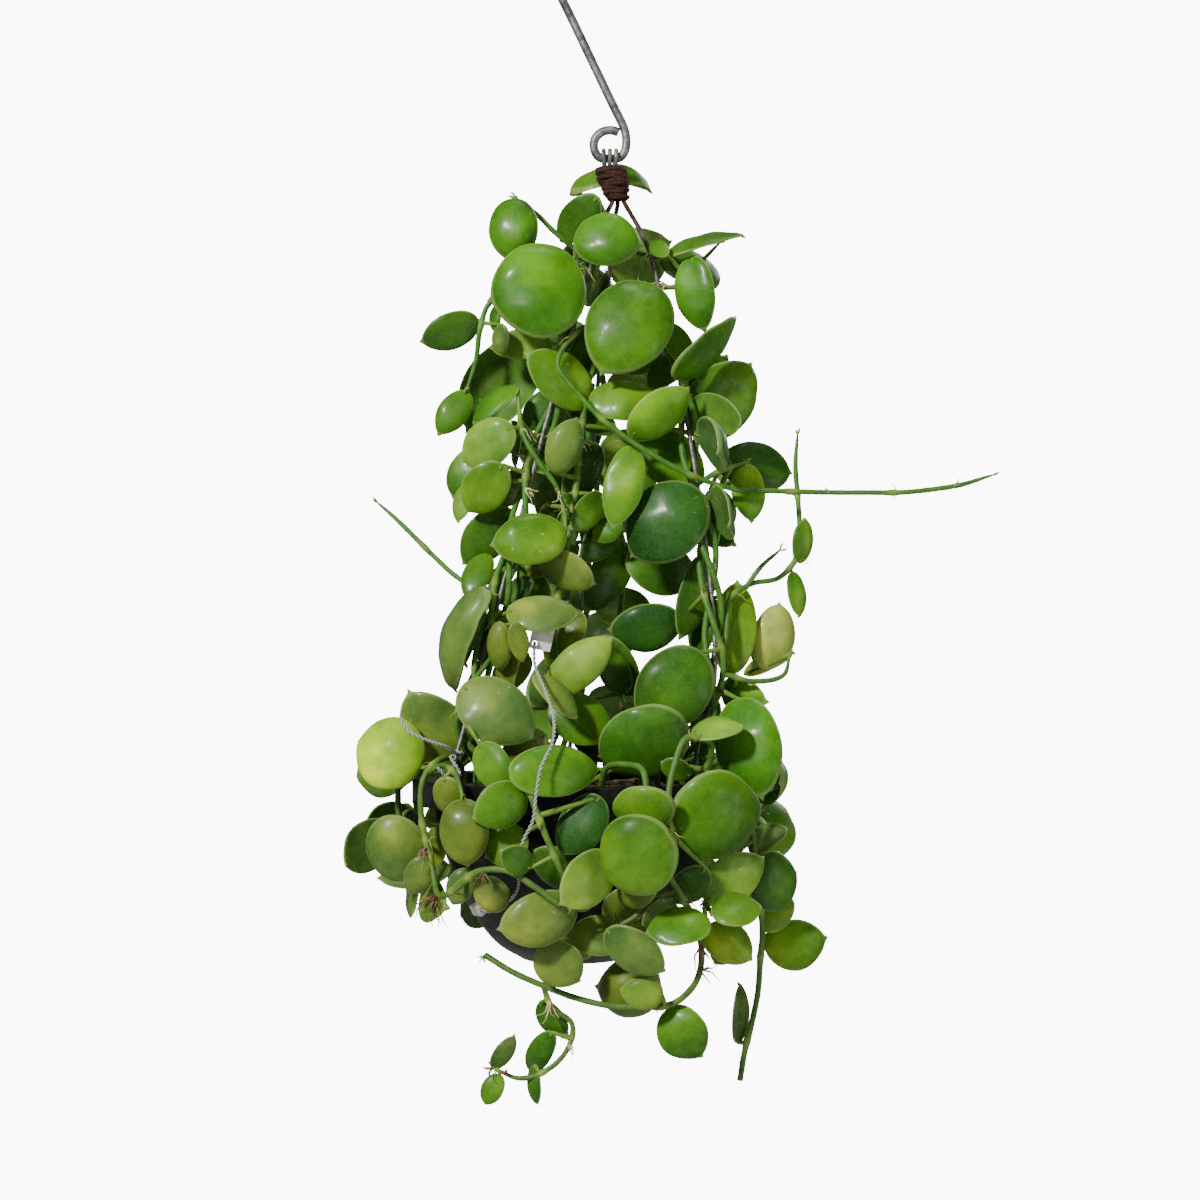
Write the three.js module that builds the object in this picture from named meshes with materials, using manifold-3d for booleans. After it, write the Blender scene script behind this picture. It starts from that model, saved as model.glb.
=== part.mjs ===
// A hanging pot of Dischidia vidalii: a bent steel hook, a three-wire hanger, a black bowl filled with
// potting mix, and leafy stems that climb the wires, spill over the rim and trail below it.
// Millimetres, +Z up. The origin is where a rail bears inside the hook's crook, and -Y is the front.
import * as THREE from 'three';
import { mergeVertices } from 'three/addons/utils/BufferGeometryUtils.js';
import Module from 'manifold-3d';

// Hook
const HOOK_WIRE_R = 1.8;
const CROOK_R = 26;
const CROOK_TIP_DEG = -20;
const SHANK_LEAN_DEG = 25.5;
const EYE_DOWN = 103.2;
const EYE_HALF_WIDTH = 6.4;
const EYE_HALF_HEIGHT = 5.2;

// Hanger
const HANGER_WIRE_R = 0.95;
const RUNNING_GAP = 0.4;
const STRAND_RING_R = 2.35;
const STRAND_TOP_OUT = 1.65;
const BINDING_TOP_DOWN = 112;
const BINDING_LENGTH = 13;
const BINDING_R = 7;
const BINDING_LEAN = 0.24;

// Pot
const POT_ACROSS = -15;
const RIM_R = 64;
const MOUTH_R = 54;
const RIM_DOWN = 356;
const RIM_SKIRT = 10;
const FLANGE_THICK = 2;
const SKIRT_THICK = 2;
const POT_DEPTH = 72;
const POT_WALL = 2;
const WIRE_HOLE_R = 1.35;
const WIRE_HOLE_RING_R = 59;
const HOOK_FOOT = 5;
const DRAIN_HOLE_R = 2.5;
const DRAIN_RING_R = 11;
const DRAIN_HOLES = 4;
const MIX_BELOW_RIM = 6;
const SEAT_GAP = 0.3;
const ROUND_SIDES = 26;

// Where each hanger wire meets the rim, in degrees from +X towards the front
const RIM_ANGLES = { left: 141, right: 35, back: 268 };

// Tag, clip and strings. The routes are as seen from the front.
const TAG_SIZE = [8.6, 9.4, 0.8];
const TAG_PLACE = [-27.3, 300.2, 37];
const TAG_LEAN_DEG = -13;
const TAG_HOLE_R = 1.1;
const TAG_HOLE_INSET = 2.1;
const STRING_R = 0.7;
const STRING_SIDES = 8;
const CLIP_SIZE = [4, 3.4, 6.4];
const CLIP_ANGLE = 146;
const CLIP_DOWN = 405;
const TAG_STRING = [[-30, 311, 46], [-26, 321, 54], [-22.5, 332, 66], [-23, 342, 76], [-27.6, 352, 81],
  [-29.6, 363, 82], [-30.8, 373, 80], [-35, 382, 77], [-36, 391, 71], [-37.6, 402, 56]];
const TIE_STRING = [[-84, 331, 60], [-81.6, 336.6, 61], [-74.4, 340.6, 60], [-66, 343.5, 54]];
const TIE_STRING_END = [[-60, 355, 46], [-64, 357, 50], [-69, 352, 53]];
const TIE_DOWN = 343.5;

// Plants
const STEM_R = 1.25;
const SHOOT_R = 1.05;
const STEM_SIDES = 4;
const STEM_STEP = 13;
const PETIOLE_R = 0.9;
const CLIMB_OFFSET = 3.7;
const CLIMB_PITCH = 74;
const CLIMB_STEP = 8;
const ROOT_DEPTH = 14;
const ROOT_HOLE_GAP = 0.45;
const BEAD_STEP = 2.6;
const BEAD_MARGIN = 0.9;
const STEM_MARGIN = 0.45;
const SMALLEST_SHARE = 0.6;
const NEAR_OWN_STEM = 7;
const JOIN_CHOICES = 26;

// The front view that the places were measured in: an eye level with the middle of the plant
const VIEW_DISTANCE = 1100;
const VIEW_ACROSS = -4;
const VIEW_DOWN = 285;

// How thick a leaf is in its middle (a fixed part and a share of its width), how domed and how arched
const LEAF_KINDS = {
  leaf: { thick: 1.7, share: 0.03, dome: 0.1, arch: 0.06 },
  plump: { thick: 2.4, share: 0.09, dome: 0.13, arch: 0.08 },
  pouch: { thick: 2, share: 0.36, dome: 0.08, arch: 0.05 },
  cup: { thick: 1.7, share: 0.02, dome: 0.3, arch: 0.1 },
};
const LEAF_STATIONS = [0.12, 0.46, 0.8];
const SMALL_LEAF_STATIONS = [0.22, 0.7];
const SMALL_LEAF = 20;

// The stems. climbs: [wire, turn at which the helix starts, level where it ends].
// root: [angle, radius] on the potting mix. rises and shoots: points [across, down, out], as seen from
// the front. Leaves: [base across, base down, tip across, tip down, width, out, lean, roll, kind], where
// out is how far in front of the hook the leaf is, lean how much further out its tip is than its base,
// and roll turns its face from the viewer to the right of the way it points.
const VINES = {
  vine_left_high: {
    climbs: ['left', 0.1, 136],
    root: [146, 44],
    shoots: [
      [[-34, 160, 8], [-48, 166, 8], [-52, 173, 8], [-52, 181, 8], [-54, 191, 6], [-57, 200, 6]],
      [[-20, 140, 6], [-30, 130, 8], [-38, 124, 9]],
      [[-14, 150, 12], [-11, 152, 18]],
    ],
    leaves: [
      [-38, 125, -39, 150, 20, 12, 3, 10, 'pouch'],
      [-11, 157, -49, 165, 39, 24, 4, 10, 'plump'],
      [-53, 173, -76, 182, 15, 8, 0, -20, 'leaf'],
      [-45, 167, -46, 178, 6, 12, 0, 40, 'leaf'],
      [-43, 175, -44, 187, 8, 14, 2, 30, 'leaf'],
      [-57, 202, -69, 219, 13, 6, 2, 10, 'leaf'],
      [-5, 124, -20, 142, 15, -7, -2, 0, 'leaf'],
      [-14, 141, 13, 143, 22, 17, 3, -12, 'plump'],
    ],
  },
  vine_left_mid: {
    climbs: ['left', 0.43, 196],
    root: [158, 40],
    shoots: [
      [[-36, 214, 22], [-38, 215, 23], [-35, 219, 25], [-26, 234, 27], [-20, 241, 26], [-18, 248, 24]],
      [[-60, 277, 14], [-70, 268, 10], [-84, 254, 6], [-93, 246, 4]],
    ],
    leaves: [
      [-30, 183, -58, 218, 28, 10, 0, 165, 'cup'],
      [-37, 200, -55, 215, 11, 17, 0, 40, 'leaf'],
      [-39, 216, -59, 230, 19, 20, 2, 12, 'leaf'],
      [-43, 231, -57, 250, 18, 24, 3, -8, 'leaf'],
      [-57, 239, -61, 254, 9, 14, 2, 30, 'leaf'],
      [-36, 220, -38, 232, 6, 16, 0, 60, 'leaf'],
      [-40, 249, -59, 271, 18, 12, 0, -10, 'leaf'],
      [-49, 267, -57, 285, 12, 16, 2, 20, 'leaf'],
      [-18, 259, -48, 263, 21, 31, 2, 14, 'plump'],
    ],
  },
  vine_left_low: {
    climbs: ['left', 0.77, 262],
    root: [134, 40],
    shoots: [
      [[-42, 292, 26], [-40, 296, 28], [-38, 303, 30]],
      [[-58, 322, 42], [-60, 330, 46]],
    ],
    leaves: [
      [-49, 281, -62, 322, 22, 18, -4, 62, 'cup'],
      [-48, 284, -58, 312, 12, 26, -2, 66, 'leaf'],
      [-44, 294, -44, 314, 10, 34, -2, 20, 'pouch'],
      [-38, 294, -35, 310, 8, 38, -2, 0, 'leaf'],
      [-59, 320, -30, 341, 25, 48, 6, -12, 'leaf'],
      [-60, 350, -81, 321, 26, 38, -4, -14, 'leaf'],
      [-45, 285, -31, 277, 10, 26, 2, 150, 'cup'],
      [-41, 290, -12, 291, 16, 32, 3, -30, 'leaf'],
    ],
  },
  vine_right_high: {
    climbs: ['right', 0.1, 136],
    root: [34, 40],
    shoots: [
      [[14, 150, 2], [-4, 130, -8], [-12, 122, -14]],
      [[-1, 159, 14], [-3, 167, 18], [-8, 175, 22], [-14, 179, 25], [-20, 183, 27], [-21, 191, 28],
        [-14, 201, 29], [-4, 212, 30], [2, 217, 30], [12, 224, 31], [28, 233, 30], [40, 238, 28],
        [52, 241, 25], [87, 242, 20], [116, 242, 16], [137, 240, 14], [153, 235, 12]],
      [[29, 159, 10], [38, 148, 8], [44, 142, 6]],
    ],
    leaves: [
      [-15, 123, 17, 121, 23, -13, 0, -80, 'cup'],
      [23, 147, 54, 139, 17, 12, -4, -68, 'leaf'],
      [33, 148, 38, 178, 17, 17, 2, 22, 'leaf'],
      [18, 160, -4, 195, 34, 16, 2, 10, 'plump'],
      [25, 194, 51, 172, 22, 10, -2, 62, 'leaf'],
      [23, 147, 16, 142, 7, 10, 0, 0, 'leaf'],
    ],
  },
  vine_right_mid: {
    climbs: ['right', 0.43, 192],
    root: [22, 44],
    shoots: [
      [[20, 215, 18], [10, 219, 20], [8, 223, 22]],
      [[46, 232, 18], [54, 230, 16]],
    ],
    leaves: [
      [-8, 205, 21, 207, 18, 20, 2, -24, 'leaf'],
      [8, 219, 32, 200, 18, 24, 2, 26, 'leaf'],
      [34, 219, 57, 190, 27, 8, -4, 12, 'leaf'],
      [12, 222, 38, 238, 23, 18, 0, -16, 'leaf'],
      [9, 224, 1, 257, 16, 26, 3, 8, 'leaf'],
      [37, 243, 8, 268, 31, 22, 0, 14, 'plump'],
      [43, 233, 73, 234, 22, 4, -5, -16, 'leaf'],
      [40, 241, 49, 256, 12, 2, 0, 10, 'leaf'],
      [54, 231, 57, 254, 14, 16, 2, -12, 'leaf'],
    ],
  },
  vine_right_low: {
    climbs: ['right', 0.77, 246],
    root: [48, 44],
    shoots: [
      [[48, 284, 22], [54, 279, 18], [66, 277, 14], [73, 273, 12], [75, 267, 12], [76, 252, 10],
        [74, 234, 8], [75, 219, 6]],
      [[54, 280, 18], [59, 273, 18], [68, 265, 16]],
      [[48, 316, 30], [60, 318, 28], [70, 315, 25], [75, 310, 22], [72, 307, 20]],
    ],
    leaves: [
      [48, 314, 51, 277, 18, 20, 0, 8, 'leaf'],
      [61, 312, 68, 286, 18, 8, 0, 20, 'pouch'],
      [52, 325, 61, 365, 26, 44, -2, 12, 'plump'],
      [45, 320, 63, 326, 15, 36, 0, 10, 'leaf'],
      [76, 270, 78, 252, 9, 12, 0, 20, 'leaf'],
      [73, 274, 76, 292, 8, 12, 0, -20, 'leaf'],
      [37, 268, 28, 301, 14, 12, 0, -20, 'leaf'],
      [39, 245, 42, 265, 11, 14, 0, 30, 'leaf'],
      [28, 293, -1, 297, 20, 6, 0, -16, 'plump'],
      [36, 306, 13, 336, 29, 34, 4, 4, 'plump'],
    ],
  },
  vine_middle: {
    rises: [[-18, 330, 26], [-22, 310, 22], [-22, 290, 20], [-18, 268, 18], [-14, 244, 14],
      [-12, 222, 12], [-10, 206, 14]],
    root: [112, 30],
    shoots: [[[-24, 316, 30], [-26, 320, 33]]],
    leaves: [
      [-9, 206, -34, 186, 20, 20, 2, 10, 'leaf'],
      [-22, 234, -13, 212, 14, 20, 2, 6, 'pouch'],
      [-5, 223, -18, 248, 14, 6, 0, -10, 'leaf'],
      [-3, 243, -16, 257, 12, 16, 2, -20, 'leaf'],
      [2, 217, -17, 209, 11, 10, 0, 10, 'leaf'],
      [-14, 336, 3, 349, 13, 20, 0, 10, 'leaf'],
      [-28, 268, -6, 279, 16, 18, 2, 26, 'leaf'],
      [4, 253, -7, 261, 11, 10, 0, 20, 'leaf'],
      [-24, 321, 1, 300, 17, 34, 2, -10, 'plump'],
      [-30, 315, -13, 333, 11, 42, 0, -36, 'leaf'],
    ],
  },
  vine_middle_behind: {
    rises: [[6, 334, 4], [2, 312, -2], [4, 290, -6], [6, 268, -8], [2, 246, -8], [-4, 228, -8]],
    root: [68, 18],
    shoots: [],
    leaves: [
      [6, 262, -10, 290, 17, -4, 0, -16, 'leaf'],
      [30, 334, -5, 348, 29, 52, 2, -12, 'plump'],
      [4, 232, 18, 244, 15, -4, 0, 0, 'leaf'],
      [7, 267, 35, 277, 22, -4, 0, -12, 'leaf'],
      [-4, 300, 10, 324, 16, 4, 0, 14, 'leaf'],
    ],
  },
  vine_front_left: {
    rises: [[-68, 348, 36], [-74, 354, 40], [-76, 365, 42], [-75, 376, 43], [-71, 391, 46],
      [-70, 402, 52], [-66, 405, 58], [-62, 401, 62], [-57, 395, 66], [-51, 393, 69], [-42, 393, 72],
      [-34, 396, 74], [-27, 403, 76], [-20, 407, 76]],
    root: [152, 48],
    shoots: [
      [[-66, 351, 50], [-61, 358, 58], [-59, 363, 62]],
    ],
    leaves: [
      [-76, 352, -101, 341, 29, 28, -4, 6, 'plump'],
      [-74, 382, -98, 386, 27, 32, -6, -10, 'plump'],
      [-74, 388, -80, 403, 11, 38, -4, 0, 'leaf'],
      [-59, 365, -57, 392, 19, 62, 2, 12, 'pouch'],
      [-66, 356, -62, 372, 13, 52, 0, 20, 'leaf'],
      [-50, 396, -44, 410, 14, 60, -6, 10, 'leaf'],
    ],
  },
  vine_front: {
    rises: [[-30, 350, 62], [-33, 354, 68], [-33, 362, 72], [-28, 372, 74], [-24, 384, 75],
      [-18, 396, 74], [-13, 405, 72]],
    root: [104, 44],
    shoots: [],
    leaves: [
      [-40, 354, -4, 353, 20, 64, 2, -14, 'plump'],
      [-34, 362, -55, 373, 18, 70, -2, -10, 'leaf'],
      [-4, 364, -20, 387, 18, 66, 0, 10, 'leaf'],
      [-34, 378, -50, 388, 16, 68, -2, 14, 'leaf'],
      [0, 388, -20, 407, 20, 74, -2, -18, 'leaf'],
      [-14, 407, -45, 417, 21, 70, -6, -6, 'plump'],
      [-28, 424, -12, 438, 20, 58, -2, 20, 'leaf'],
    ],
  },
  vine_front_right: {
    rises: [[40, 352, 58], [41, 344, 62], [38, 339, 64], [32, 338, 66], [28, 345, 68], [24, 356, 71],
      [23, 368, 74], [24, 378, 76]],
    root: [42, 36],
    shoots: [],
    leaves: [
      [25, 366, 1, 370, 19, 68, 0, -20, 'plump'],
      [25, 375, 61, 367, 35, 66, -10, 14, 'plump'],
      [24, 379, -2, 396, 31, 80, 0, 8, 'plump'],
      [33, 339, 54, 336, 18, 56, -2, -66, 'leaf'],
      [40, 358, 40, 376, 14, 56, -4, 0, 'leaf'],
    ],
  },
  vine_bottom: {
    rises: [[12, 350, 64], [14, 356, 70], [16, 372, 72], [22, 392, 71], [30, 406, 68], [36, 418, 62],
      [37, 429, 58], [34, 439, 55], [27, 446, 53], [19, 448, 52], [-3, 447, 50], [-18, 443, 48],
      [-32, 437, 46], [-43, 432, 44], [-50, 427, 42]],
    root: [76, 46],
    shoots: [
      [[-29, 444, 46], [-21, 449, 46], [-16, 452, 46], [-14, 458, 45], [-16, 463, 45], [-19, 468, 44],
        [-25, 473, 44], [-33, 477, 43], [-43, 475, 42], [-47, 472, 42]],
      [[20, 402, 64], [10, 412, 62], [-2, 417, 60]],
    ],
    leaves: [
      [7, 421, -18, 419, 16, 56, -2, 20, 'leaf'],
      [-1, 417, 22, 434, 18, 66, -2, 24, 'leaf'],
      [40, 415, 14, 418, 18, 70, -2, 46, 'leaf'],
      [20, 441, -6, 440, 25, 42, 2, -14, 'cup'],
      [21, 443, 4, 441, 13, 58, 0, -10, 'pouch'],
      [23, 449, 37, 468, 20, 48, 0, 12, 'plump'],
      [-28, 446, -17, 459, 11, 40, 0, 20, 'leaf'],
      [-23, 458, -32, 474, 10, 40, 0, 10, 'leaf'],
      [-44, 475, -50, 487, 9, 42, 0, 14, 'leaf'],
      [-47, 472, -38, 459, 8, 42, 0, 20, 'leaf'],
      [-30, 471, -29, 487, 7, 42, 0, 40, 'leaf'],
    ],
  },
  vine_right_trail: {
    rises: [[47, 350, 44], [52, 356, 48], [56, 370, 48], [58, 388, 44], [60, 404, 38], [61, 419, 32],
      [60, 430, 28], [59, 445, 24], [54, 465, 22], [52, 477, 20]],
    root: [30, 47],
    shoots: [
      [[52, 384, 52], [44, 400, 54], [38, 406, 54]],
    ],
    leaves: [
      [56, 385, 71, 376, 13, 36, -4, -46, 'leaf'],
      [38, 405, 62, 388, 20, 60, -4, 20, 'leaf'],
      [55, 400, 75, 394, 25, 38, -6, 14, 'plump'],
      [41, 411, 61, 408, 17, 56, -4, -48, 'leaf'],
      [72, 404, 62, 418, 12, 30, 0, 10, 'leaf'],
      [38, 417, 57, 429, 16, 54, -4, -14, 'leaf'],
      [62, 423, 87, 420, 21, 24, -4, 10, 'plump'],
      [51, 462, 52, 438, 9, 20, -2, 40, 'leaf'],
    ],
  },
};

// Smaller leaves that close the gaps between the ones above, placed after all of those
const FILLERS = {
  vine_left_high: [
    [-20, 177, -10, 183, 9, 2, 0, 20, 'leaf'],
  ],
  vine_left_mid: [
    [-23.2, 201.8, -34, 217.8, 12, 6, 0, 10, 'leaf'],
    [-50, 225, -63.2, 244.2, 15, 12, 0, 14, 'leaf'],
    [-35.2, 233, -44, 248.2, 11, 10, 0, -20, 'leaf'],
    [-31.2, 228.2, -39.2, 213, 10, 4, 0, 30, 'leaf'],
    [-20, 261, -32.8, 276.2, 14, 14, 2, 12, 'leaf'],
    [-26, 247, -14, 263, 15, 8, 0, -12, 'leaf'],
  ],
  vine_left_low: [
    [-39.2, 269, -51.2, 289.8, 12, 20, 0, 30, 'leaf'],
    [-44.8, 289, -51.2, 312.2, 12, 24, -2, 44, 'leaf'],
    [-36, 301, -40.8, 327, 13, 28, 0, 56, 'cup'],
    [-32.8, 307, -46.4, 321.8, 14, 24, 0, 20, 'leaf'],
    [-26, 339, -44, 352.2, 16, 46, 0, -10, 'leaf'],
    [-52, 343, -40, 361, 15, 52, 0, 14, 'leaf'],
  ],
  vine_right_high: [
    [32, 183, 15.2, 201.8, 14, 0, 0, 14, 'leaf'],
    [23.2, 175, 32.8, 192.2, 11, 8, 0, -14, 'leaf'],
  ],
  vine_right_mid: [
    [31.2, 205.8, 47.2, 187, 13, 0, 0, 20, 'leaf'],
    [36, 253, 50, 263, 10, 6, 0, 0, 'leaf'],
  ],
  vine_right_low: [
    [40.8, 284.2, 34.4, 309.8, 12, 16, 0, 24, 'leaf'],
    [54, 314.6, 74, 305.8, 9, 0, 0, -40, 'leaf'],
    [42, 325, 36, 349, 13, 34, 0, 30, 'leaf'],
    [50, 349, 66, 361, 14, 30, 0, 10, 'leaf'],
  ],
  vine_middle: [
    [-3.2, 175, -14, 200.2, 15, 4, 0, 12, 'leaf'],
    [1.6, 255, -12, 269.8, 13, 2, 0, -10, 'leaf'],
    [-12, 289.8, -24.8, 312.2, 15, 18, 0, 16, 'leaf'],
    [-23.2, 325.8, 0.8, 340.2, 20, 20, 0, -14, 'leaf'],
    [6.4, 321.8, -3.2, 304.2, 13, 16, 0, 20, 'leaf'],
    [-20, 233, -28, 253, 12, 4, 0, 24, 'leaf'],
    [-24.8, 285, -36, 269, 12, 8, 0, -20, 'leaf'],
  ],
  vine_middle_behind: [
    [32, 355, 16, 348.2, 13, 36, 0, -20, 'leaf'],
    [16, 325, 23.2, 305, 14, 6, 0, 20, 'leaf'],
  ],
  vine_front_left: [
    [-67.2, 375.4, -72.8, 393.8, 11, 34, 0, 24, 'leaf'],
    [-56, 393, -63.2, 407, 11, 50, -2, 10, 'leaf'],
  ],
  vine_front: [
    [-10, 397.8, -31.2, 385, 16, 62, 0, -14, 'leaf'],
    [-7.2, 407, -26, 397.8, 16, 66, 0, 10, 'leaf'],
    [-32, 392.2, -44, 385, 11, 62, 0, 0, 'leaf'],
    [-20, 417, -8, 428.2, 12, 56, 0, 10, 'leaf'],
  ],
  vine_front_right: [
    [22, 381, 12, 363, 15, 56, 0, 16, 'leaf'],
    [38, 392.2, 24.8, 405.8, 14, 58, 0, -14, 'leaf'],
    [18, 397, 3.2, 405, 14, 66, 0, 10, 'leaf'],
  ],
  vine_bottom: [
    [14, 401.8, -3.2, 411, 15, 66, 0, -12, 'leaf'],
    [18, 407, 4, 420.2, 14, 58, 0, 16, 'leaf'],
    [26, 405.8, 12.8, 415.4, 12, 62, 0, -24, 'leaf'],
  ],
  vine_right_trail: [
    [44.8, 389.8, 54, 403, 13, 46, 0, 10, 'leaf'],
    [50, 417, 42, 431, 12, 46, 0, -10, 'leaf'],
  ],
};

// Stems that the front view hides follow a rule. Those round the pot: [name, angle, height of the
// trail, draw]. Those on the back wire climb it as the front ones climb theirs.
const POT_TRAILS = [
  ['vine_trail_1', 206, 28, 11],
  ['vine_trail_2', 230, 46, 23],
  ['vine_trail_3', 255, 52, 37],
  ['vine_trail_4', 281, 48, 41],
  ['vine_trail_5', 307, 52, 59],
  ['vine_trail_6', 332, 46, 67],
  ['vine_trail_7', 354, 38, 73],
  ['vine_trail_8', 7, 44, 103],
  ['vine_trail_9', 178, 44, 103],
];
const BACK_CLIMBS = [
  ['vine_back_1', 0.2, 150, 262, 83],
  ['vine_back_2', 0.7, 196, 290, 97],
];
// Pairs of leaves behind the stems that climb the front wires: [vine, highest, lowest, spacing, draw]
const REAR_PAIRS = [
  ['vine_left_high', 150, 250, 38, 5],
  ['vine_left_mid', 212, 300, 40, 7],
  ['vine_left_low', 272, 330, 36, 9],
  ['vine_right_high', 146, 250, 38, 13],
  ['vine_right_mid', 206, 300, 40, 15],
  ['vine_right_low', 240, 290, 24, 19],
];

const wasm = await Module();
wasm.setup();
const part = new THREE.Group();
const radians = THREE.MathUtils.degToRad;

// Places

function at(across, down, out) {
  return new THREE.Vector3(across, -out, -down);
}

// The place that shows at (across, down) from the front and lies out in front of the hook.
function seen([across, down, out]) {
  const nearer = (VIEW_DISTANCE - out) / VIEW_DISTANCE;
  return at(VIEW_ACROSS + (across - VIEW_ACROSS) * nearer, VIEW_DOWN + (down - VIEW_DOWN) * nearer, out);
}

function aroundPot(angle, radius, down) {
  const turn = radians(angle);
  return at(POT_ACROSS + radius * Math.cos(turn), down, radius * Math.sin(turn));
}

// Solids

function solidFromTriangles(points, triangles) {
  const geometry = new THREE.BufferGeometry();
  const flat = triangles.flatMap((triangle) => triangle.flatMap((i) => points[i].toArray()));
  geometry.setAttribute('position', new THREE.Float32BufferAttribute(flat, 3));
  return solidFromGeometry(geometry);
}

function solidFromGeometry(geometry) {
  const bare = geometry.index ? geometry.toNonIndexed() : geometry.clone();
  bare.deleteAttribute('normal');
  bare.deleteAttribute('uv');
  const merged = mergeVertices(bare, 1e-3);
  return new wasm.Manifold(new wasm.Mesh({
    numProp: 3,
    vertProperties: new Float32Array(merged.attributes.position.array),
    triVerts: new Uint32Array(merged.index.array),
  }));
}

function geometryFromSolid(solid) {
  const { vertProperties, triVerts } = solid.getMesh();
  const geometry = new THREE.BufferGeometry();
  geometry.setAttribute('position', new THREE.Float32BufferAttribute(vertProperties, 3));
  geometry.setIndex(new THREE.Uint32BufferAttribute(triVerts, 1));
  geometry.computeVertexNormals();
  return geometry;
}

function polygon(radius, sides) {
  const shape = new THREE.Shape();
  for (let i = 0; i < sides; i += 1) {
    const turn = (2 * Math.PI * i) / sides;
    if (i === 0) shape.moveTo(radius, 0);
    else shape.lineTo(radius * Math.cos(turn), radius * Math.sin(turn));
  }
  shape.closePath();
  return shape;
}

// A curve that is stepped along by its own points instead of by equal lengths.
class PlacedCurve extends THREE.CatmullRomCurve3 {
  getUtoTmapping(share) {
    return share;
  }
}

function tube(points, radius, sides, ringsPerPoint = 1) {
  return new THREE.ExtrudeGeometry(polygon(radius, sides), {
    extrudePath: new PlacedCurve(points, false, 'centripetal'),
    steps: (points.length - 1) * ringsPerPoint,
    bevelEnabled: false,
  });
}

function addPiece(name, geometry, color, roughness, metalness) {
  const material = new THREE.MeshStandardMaterial({ color, roughness, metalness });
  const mesh = new THREE.Mesh(geometry, material);
  mesh.name = name;
  part.add(mesh);
}

// Hook

function hookRoute() {
  const centreDown = CROOK_R - HOOK_WIRE_R;
  const points = [];
  const lastTurn = 180 + SHANK_LEAN_DEG;
  const turns = 16;
  for (let i = 0; i <= turns; i += 1) {
    const turn = radians(CROOK_TIP_DEG + ((lastTurn - CROOK_TIP_DEG) * i) / turns);
    points.push(at(CROOK_R * Math.cos(turn), centreDown - CROOK_R * Math.sin(turn), 0));
  }
  const shankTop = points[points.length - 1];
  const lean = radians(SHANK_LEAN_DEG);
  const shankDrop = 52;
  const drop = new THREE.Vector3(Math.tan(lean), 0, -1).multiplyScalar(shankDrop);
  points.push(shankTop.clone().addScaledVector(drop, 0.35));
  points.push(shankTop.clone().addScaledVector(drop, 0.7));
  points.push(shankTop.clone().add(drop));
  const w = EYE_HALF_WIDTH;
  const h = EYE_HALF_HEIGHT;
  const ring = [[0.9 * w, -1.25 * h], [1.02 * w, -0.35 * h], [0.95 * w, 0.35 * h], [0.72 * w, 0.82 * h],
    [0.45 * w, h], [0, h], [-0.45 * w, h], [-0.78 * w, 0.8 * h], [-w, 0.2 * h], [-0.94 * w, -0.5 * h],
    [-0.55 * w, -h], [-0.1 * w, -1.17 * h], [0.3 * w, -1.12 * h], [0.54 * w, -h]];
  for (const [across, down] of ring) points.push(at(across, EYE_DOWN + down, 0));
  return points;
}

// Hanger

const AXIS_DOWN = EYE_DOWN + EYE_HALF_HEIGHT;
const LOOP_R = HOOK_WIRE_R + RUNNING_GAP + HANGER_WIRE_R;

// Each wire: place across the eye, which side its long strand is on, the strand's place in the binding,
// and the route from the binding to the rim.
const HANGER_WIRES = {
  left: {
    across: -2.5,
    front: 1,
    strand: [-2.05, 1.17],
    route: [[-1.4, 131, 2.8], [-12, 168, 8.6], [-22.8, 206, 14.5], [-40, 272, 24.8], [-57, 336, 35]],
  },
  right: {
    across: 2.5,
    front: 1,
    strand: [2.05, 1.17],
    route: [[8.6, 131.5, 2.8], [12.9, 139.5, 5], [16, 148, 7], [27.3, 197, 14], [37.2, 261, 23],
      [39.4, 281, 26], [40.8, 305, 29.5], [39.8, 321, 32], [36, 333, 33.4], [33.6, 344, 33.8]],
  },
  back: {
    across: 0,
    front: -1,
    strand: [0, 2.35],
    route: [[2, 132, -4.4], [-4, 188, -18.5], [-9, 246, -33], [-13.5, 310, -49.5], [-16.4, 344, -57.6]],
  },
};

// The binding and what it holds lean to the right below the eye.
function leanOf(down) {
  return BINDING_LEAN * (down - BINDING_TOP_DOWN);
}

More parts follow.
